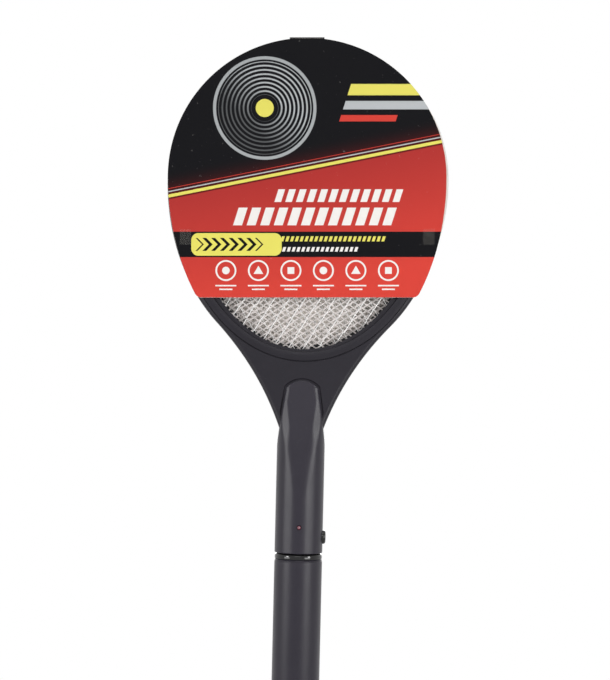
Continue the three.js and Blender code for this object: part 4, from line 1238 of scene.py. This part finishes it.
@dataclass
class WindowRings(Assembly):
    """The inlaid rings round the window, crowned, with a lower step beside the net."""

    shape: HeadShape = HeadShape()
    window: Point = (85.0, 119.5)
    step: Point = (3.9, 1.7)
    band: Point = (6.0, 6.6)
    face: float = 8.6
    step_face: float = 6.7
    base: float = 6.0
    crown: float = 0.25
    edges: Point = (1.0, 0.45)

    def build(self) -> None:
        """Builds the front ring and its twin behind."""
        for name, node, side in (("front_window_ring", "front_ring", -1), ("back_window_ring", "back_ring", 1)):
            ring = rolled(name, self._sections(side), loop=True)
            self.finish(ring, 40, ("ring_abs",), "racket", "ring_plastic", node)

    def _sections(self, side: int) -> np.ndarray:
        """The profile's corners, each drawn round the egg as one row.

        A corner is its share of the step, its share of the band, how far out it lies beyond them, and its depth.

        Args:
            side: -1 for the front and 1 for the back.

        Returns:
            The rows.
        """
        low, shoulder = self.step_face, self.face - self.crown
        soft, crisp = self.edges
        profile = [(0, 0, 0.0, self.base), (0, 0, 0.0, low - 0.5), (0, 0, 0.12, low - 0.15), (0, 0, 0.45, low),
                   (1, 0, -0.3, low - 0.1), (1, 0, 0.0, low + 0.1), (1, 0, 0.05, shoulder - soft)]
        turn = np.linspace(0.15, 1, 6) * math.pi / 2
        profile += [(1, 0, 0.05 + soft * (1 - math.cos(t)), shoulder - soft * (1 - math.sin(t))) for t in turn]
        profile += [(1, share, 0.0, self.face - self.crown * (2 * share - 1) ** 2) for share in (0.35, 0.5, 0.65)]
        profile += [(1, 1, -crisp * (1 - math.cos(t)), shoulder - crisp * (1 - math.sin(t)))
                    for t in reversed([0.0, *turn])]
        profile.append((1, 1, 0.0, self.base))
        rows = []
        for on_step, on_band, out, y in profile:
            radius, drop = (self.window[i] + on_step * self.step[i] + on_band * self.band[i] + out for i in (0, 1))
            rows.append(upright(self.shape.egg(radius, drop), side * y))
        return np.stack(rows)


@dataclass(frozen=True)
class NetPattern:
    """One expanded-metal net: its mesh, its strands, how they lean and how far they turn, both in degrees."""

    name: str
    node: str
    depth: float
    cell: Point
    strand: Point
    thick: float
    lean: Point
    coat: str
    shift: Point
    wander: float
    seed: int


@dataclass
class WireNets(Assembly):
    """The three nets, each an array of one diamond of four leaning strands."""

    shape: HeadShape = HeadShape()
    reach: Point = (92.0, 125.0)
    corners: int = 8
    overlap: float = 0.9
    stray: float = 0.02
    patterns: Tuple[NetPattern, ...] = (
        NetPattern("front_coarse_net", "front_net", -3.8, (10.6, 17.1), (0.58, 0.32), 0.4, (20, -28), "net_zinc",
                   (2.0, 1.0), 3, 3),
        NetPattern("middle_fine_net", "middle_net", 0.0, (6.4, 4.2), (1.02, 0.92), 0.3, (7, -9), "fine_net_zinc",
                   (0.0, 0.0), 2.5, 5),
        NetPattern("back_coarse_net", "back_net", 3.8, (10.6, 17.1), (0.65, 0.5), 0.4, (-20, 28), "net_zinc",
                   (4.0, 6.0), 3, 7),
    )

    def build(self) -> None:
        """Builds each net inside the slot between the shells."""
        for pattern in self.patterns:
            net = self._array(pattern)
            self._trim(net, pattern)
            self.finishes.coat(net, pattern.coat)
            seat(net, "racket", "net_steel", pattern.node)

    def _strand(self, pattern: NetPattern, middle: Point, rising: bool) -> bpy.types.Object:
        """One strand of the diamond, leaning about its own length.

        Args:
            pattern: The net.
            middle: The strand's middle.
            rising: Whether it rises to the right.

        Returns:
            The strand.
        """
        wide, high = pattern.cell
        length = math.hypot(wide, high) / 2
        run = Vector((wide if rising else -wide, 0, high)).normalized()
        lean = math.radians(pattern.lean[0 if rising else 1])
        across = Vector((0, 1, 0)).cross(run)
        turned = Matrix.Rotation(lean, 3, run) @ across
        frame_of = Matrix((turned, run.cross(turned), run)).transposed()
        width = pattern.strand[0 if rising else 1]
        strand = new_primitive(
            "strand", bpy.ops.mesh.primitive_cube_add, size=1,
            location=Vector((middle[0], pattern.depth, middle[1])) * MM, rotation=frame_of.to_euler(),
            scale=Vector((width, pattern.thick, length + width * self.overlap)) * MM,
        )
        bake_place(strand)
        return strand

    def _array(self, pattern: NetPattern) -> bpy.types.Object:
        """Joins one diamond's strands and repeats it over the head."""
        wide, high = pattern.cell
        columns = math.ceil(2 * self.reach[0] / wide) + 2
        rows = math.ceil((self.reach[0] + self.reach[1]) / high) + 2
        left = -columns / 2 * wide + pattern.shift[0]
        low = self.shape.centre - self.reach[1] - high + pattern.shift[1]
        places = ((0.25, 0.25, False), (0.75, 0.25, True), (0.75, 0.75, False), (0.25, 0.75, True))
        strands = [self._strand(pattern, (left + x * wide, low + z * high), up) for x, z, up in places]
        pick(strands[0])
        for other in strands[1:]:
            other.select_set(True)
        bpy.ops.object.join()
        net = bpy.context.active_object
        net.name = pattern.name
        for count, offset in ((columns, (wide * MM, 0, 0)), (rows, (0, 0, high * MM))):
            apply_modifier(net, "ARRAY", count=count, use_relative_offset=False, use_constant_offset=True,
                           constant_offset_displace=offset)
        return net

    def _trim(self, net: bpy.types.Object, pattern: NetPattern) -> None:
        """Removes strands outside the slot and lets the rest wander a little, the same way each run."""
        corners = np.empty(len(net.data.vertices) * 3, np.float32)
        net.data.vertices.foreach_get("co", corners)
        strands = corners.reshape(-1, self.corners, 3).astype(float)
        middle = strands.mean(axis=1, keepdims=True)
        x, z = middle[:, 0, 0] / MM, middle[:, 0, 2] / MM - self.shape.centre
        outside = np.hypot(x / self.reach[0], z / np.where(z > 0, self.reach[0], self.reach[1])) > 1
        rng = np.random.default_rng(pattern.seed)
        turn = np.radians(rng.normal(0, pattern.wander, len(strands)))[:, None]
        arm = strands - middle
        arm[..., 0], arm[..., 1] = (arm[..., 0] * np.cos(turn) - arm[..., 1] * np.sin(turn),
                                    arm[..., 0] * np.sin(turn) + arm[..., 1] * np.cos(turn))
        shift = rng.normal(0, self.stray * pattern.cell[0] * MM, (len(strands), 1, 3)) * (1, 0.3, 1)
        moved = (middle + arm + shift).astype(np.float32)
        net.data.vertices.foreach_set("co", moved.ravel())
        net.data.update()
        pick(net)
        net.data.vertices.foreach_set("select", np.repeat(outside, self.corners))
        net.data.edges.foreach_set("select", np.zeros(len(net.data.edges), bool))
        net.data.polygons.foreach_set("select", np.zeros(len(net.data.polygons), bool))
        bpy.ops.object.mode_set(mode="EDIT")
        bpy.context.tool_settings.mesh_select_mode = (True, False, False)
        bpy.ops.mesh.delete(type="VERT")
        bpy.ops.object.mode_set(mode="OBJECT")


@dataclass
class Handle(Assembly):
    """The lower tube, the glossy joint ring, the lamp, the button and the screws."""

    radius: float = 17.0
    wall: float = 2.0
    tube_length: float = 141.7
    tube_lip: float = 0.6
    tube_mouth: Tuple[Point, ...] = ((0, -1.75), (-0.28, -1.45), (-0.28, -1.15), (-0.05, -0.95), (-0.8, -0.1),
                                     (-0.9, 0))
    end_round: float = 3.0
    floor: float = 3.0
    collar_bottom: float = 142.0
    collar_height: float = 4.2
    button_radius: float = 4.9
    button_proud: float = 2.2

    def build(self) -> None:
        """Builds the pieces from the bottom up."""
        self._tube()
        self._collar()
        self._lamp()
        self._button()
        for number, (x, z, rest) in enumerate(RacketShells.screws, 1):
            self._screw(number, x, z, rest)

    def _tube(self) -> None:
        """The battery tube: a rounded closed end, a thin bore and a stepped bevel at its mouth."""
        r, bore, top, soft = self.radius, self.radius - self.wall, self.tube_length + self.tube_lip, 0.5
        profile = [(0, 0), *arc((r - self.end_round, self.end_round), self.end_round, -90, 0, 10)]
        profile += [(r + out, top + up) for out, up in self.tube_mouth]
        profile += [(bore + soft, top), (bore, top - soft), (bore, self.floor), (0, self.floor)]
        tube = spun("handle_tube", profile, steps=128)
        # the tube's lighter grip colour is painted light
        self.finish(tube, 32, ("grip_abs_painted_lighter",), "lower_handle", "shell_plastic", "battery_tube")

    def _collar(self) -> None:
        """The joint ring's bulge, with its spigot below and its flange above."""
        low, high = self.collar_bottom, self.collar_bottom + self.collar_height
        widest, soft, lean = self.radius - 0.15, 1.5, 0.29
        bulge = [(widest - (z - low - 1.35) ** 2 / 10.6, z) for z in np.linspace(low + 0.4, low + 2.9, 16)]
        edge, level = bulge[-1]
        bulge += [(edge - soft * (math.cos(lean) - math.cos(t)), level + soft * (math.sin(t) - math.sin(lean)))
                  for t in np.linspace(lean, 1.2, 9)[1:]]
        bore, spigot, cup, flange, top = 11.3, 14.7, 13.0, 149.0, 150.7
        profile = [(bore, low - 14), (13.9, low - 14), (spigot, low - 12.8), (spigot, low + 0.4), *bulge, (cup, high),
                   (cup, flange), (spigot, flange), (spigot, top), (bore, top), (bore, low - 14)]
        ring = spun("joint_ring", profile, steps=128)
        self.finish(ring, 32, ("gloss_abs",), "racket", "gloss_black", "joint_collar")

    def _lamp(self) -> None:
        """The lamp's domed lens on its flange, with two legs to the board."""
        tip, dome, flange, seat_y, foot = -self.radius - 0.7, 1.5, 1.9, -13.3, -12.3
        profile = [(dome * math.sin(t), tip + dome - dome * math.cos(t)) for t in np.linspace(0, np.pi / 2, 9)]
        profile += [(dome, seat_y), (flange, seat_y), (flange, foot), (0, foot)]
        lens = spun("lamp_lens", profile, "Y", (0, 0, LAMP_Z), 48)
        thin = 0.25
        for x in (-1.25, 1.25):
            meet(lens, slab("leg", (x - thin, -12.8, LAMP_Z - thin), (x + thin, 3.9, LAMP_Z + thin)), Join.ADD)
        self.finish(lens, 32, ("lamp_lens",), "racket", "lamp_red", "lamp")

    def _button(self) -> None:
        """The domed side button on its flange."""
        tip, cap = self.radius + self.button_proud, self.button_radius
        low, flange, soft = 13.4, 14.4, 1.7
        profile = [(0, low), (cap + 1.1, low), (cap + 1.1, flange), (cap, flange), (cap, tip - soft)]
        profile += [(cap - soft * (1 - math.cos(t)), tip - soft + (soft - 0.15) * math.sin(t))
                    for t in np.linspace(0.1, math.pi / 2, 9)]
        profile += [(cap * 0.35, tip - 0.03), (0, tip)]
        button = spun("push_button", profile, "X", (0, 0, BUTTON_Z))
        self.finish(button, 32, ("gloss_abs",), "power_button", "gloss_black", "button_cap")

    def _screw(self, number: int, x: float, z: float, rest: float) -> None:
        """A pan-head screw with a cross recess, driven from the back.

        Args:
            number: Its number.
            x: Its place across.
            z: Its height.
            rest: The depth of its seat.
        """
        top, shank, head = rest + 0.1, 1.2, 2.5
        profile = [(0, -4.6), (0.6, -4.6), (shank, -3.6), (shank, top), (head, top), (head, top + 0.7),
                   *arc((1.5, top + 0.7), 1.0, 0, 80, 5), (0, top + 1.8)]
        screw = spun(f"shell_screw_head_{number}", profile, "Y", (x, 0, z), 40)
        for wide, high in ((1.5, 0.3), (0.3, 1.5)):
            meet(screw, slab("slot", (x - wide, top + 0.7, z - high), (x + wide, top + 3, z + high)), Join.CUT)
        self.finish(screw, 32, ("spring_steel",), "racket", "spring_steel", f"shell_screw_{number}")


@dataclass
class BatteryBay(Assembly):
    """The cells and the spring on the carrier, seen when the tube is off."""

    cell_radius: float = 7.1

    def build(self) -> None:
        """Builds both cells and the spring under them."""
        for number, (low, finish) in enumerate(zip(CELL_BOTTOMS, ("cell_jacket_upper", "cell_jacket_lower")), 1):
            self._cell(number, low, finish)
        self._spring()

    def _cell(self, number: int, low: float, finish: str) -> None:
        """One AA cell: a rolled jacket lip at each end and the raised button.

        Args:
            number: Its number.
            low: The height of its flat end.
            finish: Its jacket.
        """
        r, top = self.cell_radius, low + CELL_LENGTH
        profile = [(0, low), (4.6, low), (4.9, low + 0.3), (5.9, low + 0.3)]
        profile += arc((r - 0.7, low + 0.8), 0.7, -90, 0, 4) + [(r, top - 2.2)]
        profile += arc((r - 0.7, top - 1.9), 0.7, 0, 90, 4) + [(5.2, top - 1.35), (2.9, top - 1.3), (2.7, top - 1.0)]
        profile += arc((2.3, top - 0.4), 0.4, 0, 90, 3) + [(0, top)]
        cell = spun(f"battery_cell_{number}", profile)
        self.finish(cell, 32, (finish,), "racket", "cell_jacket", f"aa_cell_{number}")

    def _spring(self) -> None:
        """A round wire wound on the battery spring's own helix."""
        low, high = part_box("battery_spring")
        wire, coil, curls, steps = 0.45, 4.6, 4, 128
        curve = bpy.data.curves.new("battery_coil_spring", "CURVE")
        curve.dimensions = "3D"
        curve.bevel_depth = wire * MM
        curve.bevel_resolution = 3
        curve.use_fill_caps = True
        line = curve.splines.new("POLY")
        line.points.add(steps)
        for i, point in enumerate(line.points):
            angle = 2 * math.pi * curls * i / steps
            height = low.z + wire * MM + (high.z - low.z - 2 * wire * MM) * i / steps
            point.co = (coil * MM * math.cos(angle), coil * MM * math.sin(angle), height, 1)
        spring = bpy.data.objects.new("battery_coil_spring", curve)
        bpy.context.scene.collection.objects.link(spring)
        pick(spring)
        bpy.ops.object.convert(target="MESH")
        spring = bpy.context.active_object
        smooth(spring, 40, False)
        self.finishes.coat(spring, "spring_steel")
        seat(spring, "racket", "spring_steel", "battery_spring")


@dataclass
class CardSleeve(Assembly):
    """The retail sleeve: printed front, grey back, folded top and two clear seals."""

    centre_z: float = HeadShape.centre + 2.2
    tilt: float = math.radians(1.35)
    card: float = 0.6
    inner: float = 8.9
    radius: float = 98.7
    drop: float = 138.7
    bottom_drop: float = 85.1
    corner: float = 2.2
    back_radius: float = 100.2
    back_drop: float = 122.8
    back_shift: float = 1.0
    fold_half: float = 12.3
    fold_z: float = 98.4
    card_edge: float = 0.08
    seal_reach: float = 86.1
    seal_drop: float = 42.2
    seal_half: Point = (4, 5.5)
    seal_depth: Point = (-9.8, -9.6)
    seal_edge: float = 0.06

    def build(self) -> None:
        """Builds the panels, the fold and the seals."""
        self._panel("sleeve_front_card", self._front(), -1, "sleeve_front_panel", "card_print",
                    ("sleeve_print", "board_core", "board_grey"))
        # the back card's inner face takes the pale board, which is painted light
        self._panel("sleeve_back_card", self._back(), 1, "sleeve_back_panel", "card_grey",
                    ("board_grey", "board_core", "board_painted_pale"))
        self._fold()
        for name, side in (("left", -1), ("right", 1)):
            self._seal(name, side)

    def _to_frame(self, obj: bpy.types.Object) -> None:
        """Turns and moves a piece from the sleeve's own frame to the swatter's."""
        pick(obj)
        obj.rotation_euler = Euler((0, -self.tilt, 0))
        obj.location = Vector((0, 0, self.centre_z)) * MM
        bake_place(obj)

    def _front(self) -> np.ndarray:
        """The printed panel: round above, a longer ellipse below, cut straight at the bottom."""
        run = self.corner * 1.4
        side = math.asin((self.bottom_drop - run) / self.drop)
        half = self.radius * math.cos(math.asin(self.bottom_drop / self.drop))
        foot = bezier([(half - run, -self.bottom_drop), (half, -self.bottom_drop),
                       (self.radius * math.cos(side), run - self.bottom_drop)], 8)
        low = self._arch(0, self.radius, self.drop, -side, 0, 40)[:-1]
        high = self._arch(0, self.radius, self.radius, 0, math.acos(self.fold_half / self.radius), 90)
        right = np.concatenate([foot, low, high, [(self.fold_half, self.fold_z)]])
        return np.concatenate([right, right[::-1] * (-1, 1)])

    def _back(self) -> np.ndarray:
        """The back panel: a little wider, and egg-shaped below."""
        wide, across = self.back_radius, self.back_shift
        right_turn = math.acos((self.fold_half - across) / wide)
        left_turn = math.pi - math.acos((self.fold_half + across) / wide)
        low = self._arch(across, wide, self.back_drop, math.pi, 2 * math.pi, 110)[:-1]
        right = self._arch(across, wide, self.radius, 0, right_turn, 60)
        left = self._arch(across, wide, self.radius, left_turn, math.pi, 60)[:-1]
        tab = np.array([(self.fold_half, self.fold_z), (-self.fold_half, self.fold_z)])
        return np.concatenate([low, right, tab, left])

    @staticmethod
    def _arch(across: float, wide: float, high: float, start: float, end: float, steps: int) -> np.ndarray:
        """Points on an ellipse in the sleeve's frame, from one angle to another.

        Args:
            across: Its centre's X.
            wide: Its half width.
            high: Its half height.
            start: The first angle, in radians.
            end: The last angle.
            steps: How many chords it has.

        Returns:
            The points.
        """
        angle = np.linspace(start, end, steps + 1)
        return np.stack([across + wide * np.cos(angle), high * np.sin(angle)], axis=1)

    def _panel(self, name: str, outline: np.ndarray, side: int, node: str, slot: str, coats: Sequence[str]) -> None:
        """One sheet of card with a printed or grey face, a pale cut edge and a grey inside, or on the back a pale one
        whose paleness is painted light.

        Args:
            name: The piece's name.
            outline: Its shape in the sleeve's frame.
            side: -1 for the front and 1 for the back.
            node: The node that it replaces.
            slot: The record's material slot.
            coats: The finishes of its outer face, its edge and its inner face.
        """
        near, out, soft = self.inner, self.inner + self.card, self.card_edge
        rows = [(soft, near), (0, near + soft), (0, out - soft), (soft, out)]
        panel = rolled(name, np.stack([upright(HeadShape.inset(outline, by), side * y) for by, y in rows]))
        self._to_frame(panel)
        self.finish(panel, 50, coats, "card_sleeve", slot, node,
                    paint=lambda f: 0 if f.normal.y * side > 0.9 else 2 if f.normal.y * side < -0.9 else 1)

    def _fold(self) -> None:
        """The strip over the top, creased where it turns down to the panels."""
        reach, low, high, bend = self.inner + self.card, self.fold_z + 0.1, self.fold_z + 0.7, 0.6
        section = np.array([(-reach, low), *arc((-reach + bend, high - bend), bend, 180, 90, 6),
                            *arc((reach - bend, high - bend), bend, 90, 0, 6), (reach, low)])
        rows = np.stack([np.stack([np.full(len(section), x), section[:, 0], section[:, 1]], axis=1)
                         for x in (-self.fold_half, -self.fold_half + 0.1, self.fold_half - 0.1, self.fold_half)])
        fold = rolled("sleeve_fold", rows)
        self._to_frame(fold)
        self.finish(fold, 40, ("sleeve_print", "board_grey"), "card_sleeve", "card_print", "sleeve_top_fold",
                    paint=lambda f: 1 if f.normal.z < -0.5 else 0)

    def _seal(self, name: str, side: int) -> None:
        """A short clear tape that closes the sleeve near its lower corner."""
        x, z = side * self.seal_reach, -self.seal_drop
        (wide, high), (front, back) = self.seal_half, self.seal_depth
        seal = slab(f"clear_seal_{name}", (x - wide, front, z - high), (x + wide, back, z + high), self.seal_edge)
        self._to_frame(seal)
        self.finish(seal, 40, ("clear_tape",), "card_sleeve", "clear_film", f"tape_seal_{name}")


@dataclass
class InnerWorks(Assembly):
    """The pieces that keep their drawn shape and only get their finish."""
    coats: Tuple[Tuple[str, Tuple[str, ...]], ...] = (
        ("frame_abs", ("front_spacer", "back_spacer", "battery_carrier")),
        ("spring_steel", ("positive_contact", "return_strip")),
        ("board_green", ("circuit_board",)),
        ("ferrite_core", ("transformer_core",)),
        ("copper_wire", ("transformer_winding",)),
        ("film_resin", ("hv_capacitor_1", "hv_capacitor_2", "hv_capacitor_3")),
        ("black_resin", ("switching_transistor", "rectifier_diode_1", "rectifier_diode_2", "rectifier_diode_3",
                         "rectifier_diode_4", "switch_body", "switch_plunger")),
        ("resistor_paint", ("resistor_1", "resistor_2", "resistor_3")),
        ("red_sleeving", ("middle_net_lead", "battery_lead_positive")),
        ("black_sleeving", ("front_net_lead", "back_net_lead", "battery_lead_negative")),
    )

    def build(self) -> None:
        """Coats each node."""
        for finish, names in self.coats:
            for name in names:
                self.finishes.coat(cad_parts[name], finish)
                LOG.info("%s keeps its shape and gets %s", name, finish)


@dataclass(frozen=True)
class Softbox:
    """One soft lamp: where it stands round the racket, in degrees and metres, its power in watts and its size."""

    name: str
    azimuth: float
    height: float
    away: float
    power: float
    size: Point
    aim: float

    def place(self) -> None:
        """Adds the lamp, turned to its aim on the racket's axis and kept out of the picture."""
        data = bpy.data.lights.new(self.name, "AREA")
        data.shape = "RECTANGLE"
        data.size, data.size_y = self.size
        data.energy = self.power
        lamp = bpy.data.objects.new(self.name, data)
        bpy.context.scene.collection.objects.link(lamp)
        angle = math.radians(self.azimuth)
        lamp.location = (self.away * math.sin(angle), -self.away * math.cos(angle), self.height)
        aim = Vector((0, 0, self.aim)) - lamp.location
        lamp.rotation_euler = aim.to_track_quat("-Z", "Y").to_euler()
        lamp.visible_camera = False


@dataclass
class Studio:
    """A plain pale floor, a white surround, soft lamps and the camera, in metres."""

    reach: float = 1.6
    height: float = 0.2976
    across: float = 0.00118
    lens: float = 119.0
    sensor: float = 36
    roll: float = math.radians(1.34)
    white: float = 1.0
    ambient: float = 0.1
    floor_drop: float = 0.134
    floor_size: float = 30
    lamps: Tuple[Softbox, ...] = (
        Softbox("left_softbox", -57, 0.17, 0.85, 2.25, (0.42, 0.3), 0.17),
        Softbox("right_softbox", 45, 0.17, 0.85, 2.65, (0.42, 0.3), 0.17),
        Softbox("left_upper_softbox", -56, 0.44, 0.85, 2.0, (0.16, 0.16), 0.25),
        Softbox("right_upper_softbox", 55, 0.44, 0.85, 2.2, (0.16, 0.16), 0.25),
        Softbox("front_softbox", -4, 0.72, 0.95, 0.9, (0.5, 0.2), 0.28),
        Softbox("top_softbox", 0, 1.35, 0.28, 1.6, (0.6, 0.3), 0.25),
        Softbox("rear_softbox", 180, 0.6, 1.3, 9.0, (0.9, 0.9), 0.3),
    )

    def build(self) -> None:
        """Sets the surround, the floor, the lamps and the camera."""
        scene = bpy.context.scene
        scene.view_settings.view_transform = "Standard"
        self._surround(scene)
        self._floor()
        for lamp in self.lamps:
            lamp.place()
        camera = bpy.data.objects.new("camera", bpy.data.cameras.new("camera"))
        scene.collection.objects.link(camera)
        camera.data.lens = self.lens
        camera.data.sensor_width = self.sensor
        camera.location = (self.across, -self.reach, self.height)
        turn = Matrix.Rotation(math.pi / 2, 3, "X") @ Matrix.Rotation(self.roll, 3, "Z")
        camera.rotation_euler = turn.to_euler()
        scene.camera = camera

    def _seen(self, graph: Graph) -> Signal:
        """A mask of the rays that should meet the white background."""
        path = graph.node("LightPath")
        seen = graph.signal(path.outputs["Is Camera Ray"])
        for name in ("Is Glossy Ray", "Is Transmission Ray"):
            seen = seen.op("MAXIMUM", graph.signal(path.outputs[name]))
        return seen

    def _surround(self, scene: bpy.types.Scene) -> None:
        """White to the eye and to reflections, and softer as a light."""
        world = bpy.data.worlds.new("surround")
        scene.world = world
        world.use_nodes = True
        graph = Graph(world.node_tree)
        strength = self._seen(graph).op("MULTIPLY_ADD", self.white - self.ambient, self.ambient)
        graph.feed(world.node_tree.nodes["Background"], {"Color": (1, 1, 1, 1), "Strength": strength})

    def _floor(self) -> None:
        """A wide pale floor under the reach of the drawn handle, with the object's shadow, and white far off."""
        floor = new_primitive("studio_floor", bpy.ops.mesh.primitive_plane_add, size=self.floor_size,
                              location=(0, 0, -self.floor_drop))
        bake_place(floor)
        material, graph, shader = blank("floor_paint")
        place = graph.place()
        paint = graph.mix(graph.noise(place, 3, 2), (0.8, 0.8, 0.8), (0.83, 0.83, 0.83))
        graph.feed(shader, {"Base Color": paint, "Roughness": 0.9, "Specular IOR Level": 0.1})
        away = graph.signal(graph.node("VectorMath", {0: place}, operation="LENGTH").outputs["Value"])
        glow = graph.node("Emission", {"Strength": 1.0})
        share = away.op("MULTIPLY_ADD", 1.1, 0.5, clamp=True) * self._seen(graph)
        mixed = graph.node("MixShader", {0: share, 1: shader.outputs[0], 2: glow.outputs[0]})
        graph.feed(graph.tree.nodes["Material Output"], {"Surface": mixed.outputs[0]})
        floor.data.materials.append(material)


def main() -> None:
    """Builds the studio, the finishes and every sub-assembly."""
    logging.basicConfig(level=logging.INFO, format="%(name)s %(message)s")
    Studio().build()
    finishes = Finishes(CardSleeve.centre_z, CardSleeve.tilt)
    for part in (RacketShells, WindowRings, WireNets, Handle, BatteryBay, CardSleeve, InnerWorks):
        LOG.info("building %s", part.__name__)
        part(finishes).build()


if __name__ == "__main__":
    main()
